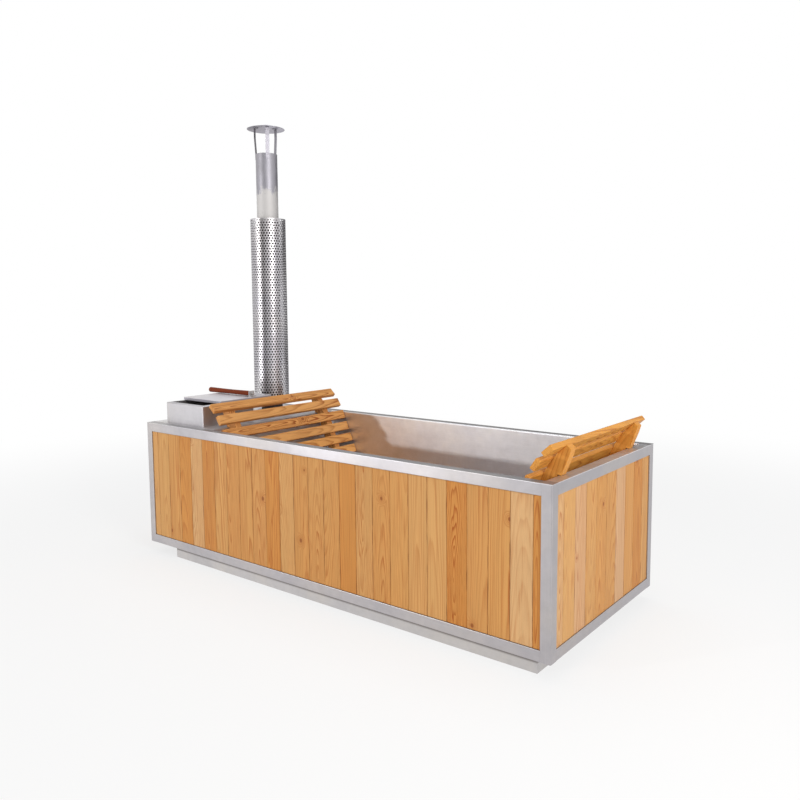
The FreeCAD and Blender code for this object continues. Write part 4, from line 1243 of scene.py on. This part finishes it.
@dataclass
class TubLining(Assembly):
    """Steel lining: wall sheets folded out over the frame, floor, deck and stove wall."""

    sheet: float = 0.002
    bend: float = 0.006
    edge: float = 0.0012
    steps: int = 6

    def lip(self, reach: float, rim: float) -> Array:
        """Outer edge of the rim: a quarter circle, then down to the sheet's underside.

        Args:
            reach: Distance from the inner face to the outside of the frame.
            rim: Height of the rim.

        Returns:
            Points: distance outward, and height.
        """
        turn = np.linspace(0, QUARTER, self.steps)
        arc = np.stack([reach - self.edge * (1 - np.sin(turn)), rim - self.edge * (1 - np.cos(turn))], -1)
        return np.concatenate([arc, [(reach, rim - self.sheet)]])

    def wall(self, face: Face) -> None:
        """One wall: a section up the inner face, over the bend, out to the lip and back, carried along.

        A long wall has flat strips of rim past its ends, over the short walls.

        Args:
            face: Which side.
        """
        node = "tub_%s_wall" % face.word
        low, high = box_of(node)
        run, across = face.run.value, face.across.value
        foot, rim = low[2], high[2]
        lip = self.lip(high[across] - low[across], rim)
        outer = folded(self.bend, self.bend, rim, self.steps)
        inner = folded(self.bend, self.bend - self.sheet, rim, self.steps)[::-1]
        section = np.concatenate([[(0.0, foot)], outer, lip, inner, [(self.sheet, foot)]])
        ends = (low[run], high[run])
        runs = []
        if face.run is Axis.X:
            ends = (box_of("tub_left_wall")[1][0], box_of("tub_right_wall")[0][0])
            strip = np.concatenate([[(0.0, rim - self.sheet), (0.0, rim)], lip])
            runs = [(strip, (low[0], ends[0])), (strip, (ends[1], high[0]))]
        shell = Shell()
        for outline, span in (*runs, (section, ends)):
            loops = np.zeros((2, len(outline), 3))
            loops[..., across] = (high if face.out < 0 else low)[across] + face.out * outline[:, 0]
            loops[..., 2] = outline[:, 1]
            loops[..., run] = np.array(span)[:, None]
            shell.loft(loops)
        self.settle(shell, node, self.shop.wall[face.run], "tub", "tub_steel")

    def build(self) -> None:
        """The walls, and the finish of the flat sheets."""
        for face in Face:
            self.wall(face)
        self.dress(self.shop.floor, "tub_floor")
        self.dress(self.shop.deck, "stove_deck")
        self.dress(self.shop.tub[Axis.Z], "stove_wall")


@dataclass
class StoveEnd(Assembly):
    """Hopper on the deck, its sliding lid with the wooden handle, and the fire below."""

    sheet: float = 0.003
    flange: float = 0.018
    bend: float = 0.005
    corner: float = 0.004
    least_corner: float = 0.0006
    fold_steps: int = 5
    lid_sheet: float = 0.002
    lid_bend: float = 0.0025
    lid_flat: float = 0.05
    lid_crown: float = 0.0008
    lid_margin: float = 0.001
    lid_shares: Pair = (0.1, 0.7)
    grip_ease: float = 0.004
    grip_waist: float = 0.1
    grip_taper: float = 0.03
    grip_neck: float = 0.07
    grip_tip: float = 0.08
    dome_steps: int = 7
    grip_steps: int = 10
    grip_stock: Stock = Stock((0.004, 0.02), (0.02, 0.03), 0.0, 0.0, 0.4)
    segments: int = 40

    def ring(self, node: str, rows: Sequence[Pair]) -> Array:
        """Rounded rectangles round a node's box, each drawn in by an inset at a height.

        Args:
            node: The node.
            rows: Inset and height of each loop.

        Returns:
            The loops.
        """
        low, high = box_of(node)
        width, depth = (high - low)[:2]
        loops = []
        for inset, height in rows:
            radius = max(self.corner - inset, self.least_corner)
            flat = rounded_outline(width - 2 * inset, depth - 2 * inset, (radius,) * 4)
            loops.append(np.column_stack([flat + (low + high)[:2] / 2, np.full(len(flat), height)]))
        return np.array(loops)

    def hopper(self) -> None:
        """Hopper: up the outside, round the bend, in along the flange and down the inside."""
        low, high = box_of("hopper")
        top = high[2]
        over = folded(self.bend, self.bend, top, self.fold_steps)
        under = folded(self.bend, self.bend - self.sheet, top, self.fold_steps)[::-1]
        rows = [(0.0, low[2]), *over, (self.flange, top), (self.flange, top - self.sheet), *under,
                (self.sheet, low[2])]
        shell = Shell().loft(self.ring("hopper", rows), Ends.RING)
        self.settle(shell, "hopper", self.shop.stove[Axis.Z], "tub", "tub_steel")

    def lid(self) -> None:
        """Lid: a tray turned over, its edges folded down and its middle slightly crowned."""
        low, high = box_of("lid")
        top = high[2] - self.lid_crown
        over = folded(self.lid_bend, self.lid_bend, top, self.fold_steps)
        rows = [(self.lid_flat, top - self.lid_sheet), (self.lid_sheet, top - self.lid_sheet),
                (self.lid_sheet, low[2]), (0.0, low[2]), (0.0, top - self.lid_bend - self.lid_margin), *over,
                (self.lid_bend + 2 * self.lid_margin, top + self.lid_shares[0] * self.lid_crown),
                (self.lid_flat / 2, top + self.lid_shares[1] * self.lid_crown),
                (self.lid_flat, top + self.lid_crown)]
        shell = Shell().loft(self.ring("lid", rows), land=self.lid_flat)
        self.settle(shell, "lid", self.shop.lid, "lid", "tub_steel")

    def handle(self) -> None:
        """Handle: turned grip, its girth the radius less a waist of sine squared and a straight taper.

        The far end is a dome half as deep as its radius. Bracket, bolt and nut keep their solids.
        """
        low, high = box_of("handle_grip")
        length = high[0] - low[0]
        radius = (high[2] - low[2]) / 2
        centre = np.array([low[0], *((low + high)[1:] / 2)])
        turn = np.linspace(self.grip_tip, QUARTER, self.dome_steps)
        dome = np.stack([radius * np.sin(turn), radius / 2 * (1 - np.cos(turn))], -1)
        body = np.linspace(self.grip_neck, 1.0 - self.grip_ease / length, self.grip_steps)
        girth = radius * (1 - self.grip_waist * np.sin(math.pi * body) ** 2 - self.grip_taper * body)
        last = (girth[-1] - self.grip_ease / 2, length)
        profile = np.concatenate([dome, np.stack([girth, body * length], -1), [last]])
        points = lathe_points(profile, centre, self.segments, Axis.X)
        along, across, depth = np.moveaxis(points - centre, -1, 0)
        shell = Shell().loft(points, land=math.inf, **self.grip_stock.marks(across, depth, along, 1.0))
        self.settle(shell, "handle_grip", self.shop.handle, "lid", "handle_wood")
        self.dress(self.shop.stove[Axis.Y], "handle_bracket")
        self.dress(self.shop.fastener, "handle_bolt", "handle_nut")

    def build(self) -> None:
        """Everything at the stove end but the flue."""
        self.hopper()
        self.lid()
        self.handle()
        self.dress(self.shop.fired, "firebox", "firebox_feet", "grate_ledges", "smoke_baffle")
        self.dress(self.shop.iron, "fire_grate")


@dataclass
class Flue(Assembly):
    """Flue pipe on its spigot, with the perforated guard round it and the rain cap above."""

    pipe_wall: float = 0.0015
    pipe_levels: int = 8
    spigot_gap: float = 0.0004
    spigot_wall: float = 0.003
    spigot_ease: float = 0.0006
    spigot_lip: float = 0.001
    guard_wall: float = 0.001
    guard_margin: float = 0.001
    hole: float = 0.01
    hole_columns: int = 39
    hole_rows: int = 72
    cap_sheet: float = 0.0015
    cap_peak: float = 0.04
    cap_reach: tuple[float, ...] = (0.004, 0.02, 0.06, 0.2, 0.45, 0.7, 0.9, 0.985)
    cap_rim: tuple[Pair, ...] = ((1.0, 0.0009), (1.0, 0.0002), (0.985, 0.0004))
    segments: int = 96

    def pipe(self) -> None:
        """Pipe: a wall with rounded rims turned round the axis."""
        foot, radius, height = axis_of("flue_pipe")
        inner = radius - self.pipe_wall
        rim = self.pipe_wall / 3
        outside = [(radius, level) for level in np.linspace(0.0, height - rim, self.pipe_levels)]
        top = [(radius - rim, height), (inner + rim, height), (inner, height - rim), (inner, 0.0)]
        shell = Shell().turn(outside + top, foot, self.segments)
        self.settle(shell, "flue_pipe", self.shop.pipe, "flue", "flue_steel")

    def spigot(self) -> None:
        """Spigot: a flange and a short socket turned round the axis."""
        foot, radius, height = axis_of("flue_spigot")
        outer = axis_of("flue_pipe")[1] - self.pipe_wall - self.spigot_gap
        bore = outer - self.spigot_wall
        ease, lip, flange = self.spigot_ease, self.spigot_lip, self.spigot_wall
        profile = [(bore, 0.0), (radius, 0.0), (radius, flange - ease), (radius - ease, flange),
                   (outer + lip, flange), (outer, flange + lip), (outer, height - lip),
                   (outer - lip, height), (bore, height)]
        shell = Shell().turn(profile, foot, self.segments)
        self.settle(shell, "flue_spigot", self.shop.flue, "tub", "flue_steel")

    def guard_sheet(self, radius: float, height: float) -> tuple[Array, Array]:
        """Points of the guard's sheet laid flat: corners of the cells, then holes, then both ends.

        A cell's centre is half a pitch further round in every other row; its corners lie on zigzag rings a
        third and two thirds of a row from the centres, and its hole is a circle of twelve points.

        Args:
            radius: Radius of the guard.
            height: Its height.

        Returns:
            Distances round the tube, and heights.
        """
        columns, rows = self.hole_columns, self.hole_rows
        pitch = 2 * math.pi * radius / columns
        step = (height - 2 * self.guard_margin) / (rows + 1.0 / 3.0)
        base = self.guard_margin + step * 2.0 / 3.0
        half = np.arange(2 * columns)
        line = np.arange(rows + 1)[:, None]
        own = (half[None] % 2) == ((line - 1) % 2)
        zig_height = base + step * (line - 1 + np.where(own, 2.0, 1.0) / 3.0)
        zig_round = np.broadcast_to(half * pitch / 2, zig_height.shape)
        row, column = np.meshgrid(np.arange(rows), np.arange(columns), indexing="ij")
        turn = math.radians(-30.0) + np.arange(HOLE_POINTS) * 2 * math.pi / HOLE_POINTS
        hole_round = (2 * column + row % 2)[..., None] * pitch / 2 + self.hole / 2 * np.cos(turn)
        hole_height = base + row[..., None] * step + self.hole / 2 * np.sin(turn)
        end_round = np.broadcast_to(half * pitch / 2, (2, 2 * columns))
        end_height = np.broadcast_to(np.array([[0.0], [height]]), end_round.shape)
        arc = np.concatenate([zig_round.ravel(), hole_round.ravel(), end_round.ravel()])
        return arc, np.concatenate([zig_height.ravel(), hole_height.ravel(), end_height.ravel()])

    def guard_faces(self, count: int) -> list[Array]:
        """Faces of the guard: both skins, the bands at the ends, the walls of the holes and the two rims.

        Args:
            count: Number of points in the outer skin, after which the inner one starts.

        Returns:
            Arrays of point numbers.
        """
        columns, rows = self.hole_columns, self.hole_rows
        corners_end = (rows + 1) * 2 * columns
        holes_end = corners_end + rows * columns * HOLE_POINTS
        zig = np.arange(corners_end).reshape(rows + 1, -1)
        holes = np.arange(corners_end, holes_end).reshape(rows, columns, HOLE_POINTS)
        ends = np.arange(holes_end, count).reshape(2, -1)
        row, column = np.meshgrid(np.arange(rows), np.arange(columns), indexing="ij")
        spot = 2 * column + row % 2
        right, left = (spot + 1) % (2 * columns), (spot - 1) % (2 * columns)
        corners = np.stack([zig[row, right], zig[row + 1, right], zig[row + 1, spot], zig[row + 1, left],
                            zig[row, left], zig[row, spot]], -1)
        corner_next = np.roll(corners, -1, -1)
        first, middle, last = holes[..., 0::2], holes[..., 1::2], np.roll(holes[..., 0::2], -1, -1)
        skin = np.concatenate([np.stack(three, -1).reshape(-1, 3) for three in (
            (corners, corner_next, middle), (corners, middle, first), (corner_next, last, middle))])
        low, high = ends
        low_next, high_next = np.roll(ends, -1, 1)
        bands = np.concatenate([np.stack([low, low_next, np.roll(zig[0], -1), zig[0]], -1),
                                np.stack([zig[-1], np.roll(zig[-1], -1), high_next, high], -1)])
        hole_next = np.roll(holes, -1, -1)
        walls = np.stack([holes, hole_next, hole_next + count, holes + count], -1).reshape(-1, 4)
        low_rim = np.stack([low, low + count, low_next + count, low_next], -1)
        high_rim = np.stack([high, high_next, high_next + count, high + count], -1)
        return [skin, skin[:, ::-1] + count, bands, bands[:, ::-1] + count, walls, low_rim, high_rim]

    def guard(self) -> None:
        """Guard: the sheet wrapped round the axis at its outer and its inner radius, the inner marked."""
        foot, radius, height = axis_of("flue_guard")
        arc, level = self.guard_sheet(radius, height)
        angle = arc / radius
        layers = [np.stack([distance * np.cos(angle), distance * np.sin(angle), level], -1) + foot
                  for distance in (radius, radius - self.guard_wall)]
        inside = np.zeros((2 * len(arc), 3))
        inside[len(arc):, 0] = 1.0
        shell = Shell()
        shell.add(np.concatenate(layers), self.guard_faces(len(arc)), math.inf, inside=inside)
        self.settle(shell, "flue_guard", self.shop.guard, "flue", "guard_steel")

    def cap(self) -> None:
        """Rain cap: a turned sheet, lower by its fall times the root of reach squared plus peak squared.

        This makes a shallow cone with a rounded peak; its rim is rolled.
        """
        foot, radius, height = axis_of("rain_cap")
        reach = np.array(self.cap_reach)
        crown = np.minimum(height - (height - self.cap_sheet) * np.hypot(reach, self.cap_peak), height)
        upper = np.stack([reach * radius, crown], -1)
        lower = np.stack([reach * radius, np.maximum(crown - self.cap_sheet, 0.0)], -1)[::-1]
        profile = np.concatenate([upper, np.array(self.cap_rim) * (radius, 1.0), lower[1:]])
        shell = Shell().turn(profile, foot, self.segments, Ends.CAPS)
        self.settle(shell, "rain_cap", self.shop.flue, "cap", "flue_steel")

    def build(self) -> None:
        """Pipe, spigot, guard and cap, and the finish of the small parts."""
        self.pipe()
        self.spigot()
        self.guard()
        self.cap()
        self.dress(self.shop.leg, "cap_leg_rear", "cap_leg_left", "cap_leg_right")
        self.dress(self.shop.flue, "guard_spacers")
        self.dress(self.shop.fastener, "guard_screws")


@dataclass
class Backrest(Assembly):
    """Lift-out backrest: slats on two shaped battens that hook over the end of the bathing space.

    Offsets run inward from the wall behind and upward from the rim, along the backs of the slats.
    """

    side: Side
    seed: int
    slat_width: float = 0.045
    slat_thickness: float = 0.021
    slat_gap: float = 0.019
    upper_gap: float = 0.024
    top_gap: float = 0.0204
    tilts: Triple = (66.0, 56.0, 42.0)
    stand_in: float = 0.0544
    lift: float = 0.0004
    ease: float = 0.003
    end_ease: float = 0.002
    least_ease: float = 0.0004
    batten_depth: float = 0.048
    batten_head: float = 0.004
    batten_hook: float = 0.013
    batten_mid: Pair = (-0.038, 0.062)
    batten_top: Pair = (-0.048, 0.094)
    batten_ease: float = 0.0022
    batten_cut: float = 0.0008
    slat_rosy: float = 0.15
    batten_rosy: float = 0.1
    batten_half: float = 0.2
    last_share: float = 0.2
    slat_places: int = 3
    batten_places: int = 1

    @staticmethod
    def slope(tilt: float) -> tuple[Array, Array]:
        """Directions down a slope and out of its face, as inward and upward."""
        angle = math.radians(tilt)
        return np.array([math.cos(angle), -math.sin(angle)]), np.array([math.sin(angle), math.cos(angle)])

    def stepped(self, start: Array, length: float, tilt: float) -> Array:
        """Point a length further down and inward at a slope."""
        return start + length * self.slope(tilt)[0]

    def corners(self) -> dict[str, Array]:
        """Points along the backs of the slats, each a length up the slope from the one before.

        Returns:
            The points by name, from the rim up to the head.
        """
        low, mid, top = self.tilts
        points = {"anchor": np.array([self.stand_in, self.lift])}
        points["upper_low"] = self.stepped(points["anchor"], -self.upper_gap, (low + mid) / 2)
        points["upper_high"] = self.stepped(points["upper_low"], -self.slat_width, mid)
        points["top_low"] = self.stepped(points["upper_high"], -self.top_gap, (mid + top) / 2)
        points["top_high"] = self.stepped(points["top_low"], -self.slat_width, top)
        points["head"] = self.stepped(points["top_high"], -self.batten_head, top)
        return points

    def placed(self, offsets: Array, along: Array) -> Array:
        """Points in the frame.

        Args:
            offsets: Offsets inward and upward.
            along: Places across the tub, on Y.

        Returns:
            X, Y and Z.
        """
        low, high = box_of(self.side.wall)
        back = high[0] if self.side is Side.LEFT else low[0]
        rim = top_of("tub_rear_wall")
        return np.stack([back + self.side.inward * offsets[..., 0], along, rim + offsets[..., 1]], -1)

    def slats(self) -> None:
        """Slats: a rounded outline turned to the slope and carried across the tub, with eased ends."""
        body = "backrest_" + self.side.word
        low, high = box_of(body + "_slats")
        spots = self.corners()
        low_tilt, mid_tilt, top_tilt = self.tilts
        run = (spots["anchor"][1] + top_of("tub_rear_wall") - low[2]) / math.sin(math.radians(low_tilt))
        pitch = self.slat_width + self.slat_gap
        starts = [(spots["top_high"], top_tilt), (spots["upper_high"], mid_tilt)]
        starts += [(self.stepped(spots["anchor"], i * pitch, low_tilt), low_tilt)
                   for i in range(int((run + self.slat_gap) / pitch + self.last_share))]
        places, insets = eased_stations(high[1] - low[1], self.end_ease, self.slat_places)
        loops = np.array([
            rounded_outline(self.slat_width - 2 * inset, self.slat_thickness - 2 * inset,
                            (max(self.ease - inset, self.least_ease),) * 4) for inset in insets])
        across = loops[..., 0]
        depth = loops[..., 1] + self.slat_thickness / 2
        along = np.broadcast_to(places[:, None], across.shape)
        mill = Sawmill(self.seed)
        shell = Shell()
        for start, tilt in starts:
            down, face = self.slope(tilt)
            offsets = start + (across[..., None] + self.slat_width / 2) * down + depth[..., None] * face
            marks = mill.cut(0.0, self.slat_rosy, True).marks(
                across, self.slat_thickness - depth, along, self.slat_width / 2)
            shell.loft(self.placed(offsets, low[1] + along), **marks)
        self.settle(shell, body + "_slats", self.shop.slats[self.side], body, body + "_wood")

    def battens(self) -> None:
        """Battens: the side view as a polygon with blunted corners, carried across with eased edges."""
        body = "backrest_" + self.side.word
        spots = self.corners()
        tilt = self.tilts[0]
        steep = math.sin(math.radians(tilt))
        depth = self.batten_depth / steep
        mill = Sawmill(self.seed + 1)
        for word in ("front", "rear"):
            node = "%s_batten_%s" % (body, word)
            low, high = box_of(node)
            drop = self.lift + top_of("tub_rear_wall") - low[2]
            foot = self.stepped(spots["anchor"], drop / steep, tilt)
            side_view = np.array([
                self.batten_top, self.batten_mid, (-self.batten_hook, self.lift),
                (self.stand_in - depth, self.lift), foot - (depth, 0.0), foot, *spots.values()])
            outline = blunted(side_view, self.batten_cut)
            places, insets = eased_stations(high[1] - low[1], self.batten_ease, self.batten_places)
            loops = np.array([inset_polygon(outline, inset) for inset in insets])
            along = np.broadcast_to(places[:, None], loops.shape[:2])
            down, face = self.slope(tilt)
            marks = mill.cut(0.0, self.batten_rosy).marks(
                loops @ face, along, loops @ down, self.batten_half)
            shell = Shell().loft(self.placed(loops, low[1] + along), **marks)
            self.settle(shell, node, self.shop.slats[self.side], body, body + "_wood")

    def build(self) -> None:
        """Slats and battens, and the finish of the struts."""
        self.slats()
        self.battens()
        self.dress(self.shop.strip, "backrest_%s_struts" % self.side.word)


@dataclass
class Drain(Assembly):
    """Floor drain: flanged bush, plug and the outlet below.

    The bush is drawn as radius and height below its top, the plug as radius and height above its foot.
    """

    bush: tuple[Pair, ...] = (
        (0.019, -0.031), (0.022, -0.031), (0.022, -0.003), (0.037, -0.003), (0.037, -0.0015),
        (0.035, 0.0), (0.0205, 0.0), (0.0195, -0.0005), (0.019, -0.0015))
    plug: tuple[Pair, ...] = (
        (0.001, 0.0), (0.0155, 0.0), (0.0166, 0.001), (0.0186, 0.004), (0.0186, 0.016),
        (0.0245, 0.016), (0.025, 0.017), (0.0245, 0.02), (0.0235, 0.021), (0.0105, 0.0212),
        (0.009, 0.0225), (0.0086, 0.028), (0.009, 0.0315), (0.008, 0.0335), (0.006, 0.034),
        (0.001, 0.034))
    segments: int = 48

    def build(self) -> None:
        """The turned bush and plug, and the finish of the parts below the floor."""
        foot, _, height = axis_of("drain_bush")
        bush = Shell().turn(self.bush, foot + (0.0, 0.0, height), self.segments)
        self.settle(bush, "drain_bush", self.shop.tub[Axis.X], "tub", "tub_steel")
        plug = Shell().turn(self.plug, axis_of("drain_plug")[0], self.segments, Ends.CAPS)
        self.settle(plug, "drain_plug", self.shop.rubber, "drain_plug", "seal_rubber")
        self.dress(self.shop.rubber, "drain_gasket")
        self.dress(self.shop.tub[Axis.Y], "drain_locknut", "drain_outlet")


@dataclass
class Studio:
    """Pale floor, white surroundings, soft lamps and the camera at the photograph's place."""

    camera_place: Triple = (2.2174, -2.6014, 1.2333)
    yaw: float = -37.567
    pitch: float = -5.380
    roll: float = -0.342
    lens: float = 34.32
    sensor: float = 36.0
    shift: Pair = (-0.0175, -0.0311)
    ambient: float = 0.52
    sky: Triple = (0.97, 0.985, 1.0)
    floor_rings: tuple[Pair, ...] = ((0.05, 0.0), (3.0, 0.0), (14.0, 0.0), (14.0, -0.05), (0.05, -0.05))
    floor_drop: float = 0.0005
    floor_grey: float = 0.88
    floor_fade: Step = (1.6, 5.0, 0.72, 1.0)
    floor_segments: int = 64
    card_corner: float = 0.02
    card_thickness: float = 0.01

    def camera(self) -> None:
        """Camera looking along a yaw from Y and a pitch from the horizon, rolled about its own axis."""
        yaw, pitch, roll = (math.radians(value) for value in (self.yaw, self.pitch, self.roll))
        ahead = Vector((math.cos(pitch) * math.sin(yaw), math.cos(pitch) * math.cos(yaw), math.sin(pitch)))
        right = Vector((math.cos(yaw), -math.sin(yaw), 0.0))
        up = right.cross(ahead)
        across = math.cos(roll) * right + math.sin(roll) * up
        upward = -math.sin(roll) * right + math.cos(roll) * up
        data = bpy.data.cameras.new("camera")
        data.sensor_width = self.sensor
        data.lens = self.lens
        data.shift_x, data.shift_y = self.shift
        item = bpy.data.objects.new("camera", data)
        turned = Matrix((across, upward, -ahead)).transposed().to_4x4()
        item.matrix_world = Matrix.Translation(Vector(self.camera_place)) @ turned
        bpy.context.scene.collection.objects.link(item)
        bpy.context.scene.camera = item

    @staticmethod
    def seen(desk: Desk) -> Socket:
        """Whether a ray shows the surroundings: to the camera, by reflection or through glass.

        Args:
            desk: Where the finish is wired.

        Returns:
            One where it does, else nought.
        """
        path = desk.node("LightPath").outputs
        mirrored = desk.maths("MAXIMUM", path["Is Glossy Ray"], path["Is Transmission Ray"])
        return desk.maths("MAXIMUM", path["Is Camera Ray"], mirrored)

    def world(self) -> None:
        """White surroundings to the eye, and softer light on the object."""
        world = bpy.data.worlds.new("studio")
        world.use_nodes = True
        desk = Desk(world.node_tree)
        light = desk.node("Background", ((*self.sky, 1.0), self.ambient))
        white = desk.node("Background", ((1.0, 1.0, 1.0, 1.0),))
        desk.end(desk.blend(self.seen(desk), light, white), "World")
        bpy.context.scene.world = world

    def floor(self) -> None:
        """Pale round floor that keeps the object's shadow and fades to white away from it."""
        material, desk = new_material("pale_floor")
        distance = desk.node("VectorMath", (desk.place(),), operation="LENGTH").outputs["Value"]
        share = desk.maths("MULTIPLY", self.seen(desk), desk.smooth(distance, *self.floor_fade))
        matt = desk.node("BsdfDiffuse", ((self.floor_grey, self.floor_grey, self.floor_grey, 1.0),))
        desk.end(desk.blend(share, matt, desk.node("Emission")))
        foot = (0.0, 0.0, -self.floor_drop)
        shell = Shell().loft(lathe_points(np.array(self.floor_rings), foot, self.floor_segments))
        shell.build("floor", material)

    @staticmethod
    def lamp(name: str, place: Triple, aim: Triple, size: float, power: float,
             colour: Triple = (1.0, 1.0, 1.0)) -> None:
        """Square soft lamp.

        Args:
            name: Name of the lamp.
            place: Where it hangs.
            aim: Point that it faces.
            size: Side of the square.
            power: Its power in watts.
            colour: Its colour.
        """
        data = bpy.data.lights.new(name, "AREA")
        data.size = size
        data.energy = power
        data.color = colour
        item = bpy.data.objects.new(name, data)
        item.location = place
        item.rotation_euler = (Vector(aim) - Vector(place)).to_track_quat("-Z", "Y").to_euler()
        bpy.context.scene.collection.objects.link(item)

    def card(self, name: str, place: Triple, width: float, height: float, level: float) -> None:
        """Upright card across Y that only reflections show, as photographers use for dark bands in metal.

        Args:
            name: Name of the card.
            place: Its middle.
            width: Its size along X.
            height: Its size upward.
            level: How bright it is, where one is white.
        """
        material, desk = new_material(name)
        desk.end(desk.node("Emission", ((level, level, level, 1.0),)))
        outline = rounded_outline(width, height, (self.card_corner,) * 4, 2)
        loops = np.zeros((2, len(outline), 3))
        loops[..., [0, 2]] = outline
        loops[1, :, 1] = self.card_thickness
        item = Shell().loft(loops + np.array(place)).build(name, material)
        item.visible_camera = False
        item.visible_diffuse = False
        item.visible_shadow = False
        item.visible_transmission = False

    def build(self) -> None:
        """Floor, surroundings, lamps, cards, camera and view settings."""
        self.camera()
        self.world()
        self.floor()
        self.lamp("key_lamp", (-3.0, -6.4, 1.75), (0.0, 0.0, 0.5), 0.18, 102.0, (1.0, 0.99, 0.97))
        self.lamp("low_lamp", (-2.85, -4.35, 0.3), (0.3, -0.4, 0.5), 0.5, 28.0)
        self.lamp("side_lamp", (4.4, -1.7, 2.2), (0.6, 0.0, 0.4), 1.4, 100.0, (1.0, 0.985, 0.96))
        self.lamp("top_lamp", (0.0, 0.4, 4.2), (0.0, 0.0, 0.3), 2.4, 36.0)
        self.card("front_card", (-0.55, -4.3, 1.5), 2.6, 2.6, 0.05)
        self.card("high_card", (-1.3, -5.2, 3.25), 6.4, 1.4, 0.12)
        self.card("rear_card", (-1.6, 3.0, 1.65), 4.6, 2.5, 0.16)
        bpy.context.scene.view_settings.view_transform = "Standard"


def main() -> None:
    """Loads the frame, builds the studio and the finishes, then each sub-assembly in order."""
    logging.basicConfig(level=logging.INFO, format="%(name)s: %(message)s")
    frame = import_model()
    Studio().build()
    both = (frame["nodes"], Workshop())
    assemblies = (
        SteelFrame(*both), Cladding(*both), TubLining(*both), StoveEnd(*both), Flue(*both),
        Backrest(*both, Side.LEFT, seed=31), Backrest(*both, Side.RIGHT, seed=47), Drain(*both))
    for assembly in assemblies:
        assembly.build()


if __name__ == "__main__":
    main()
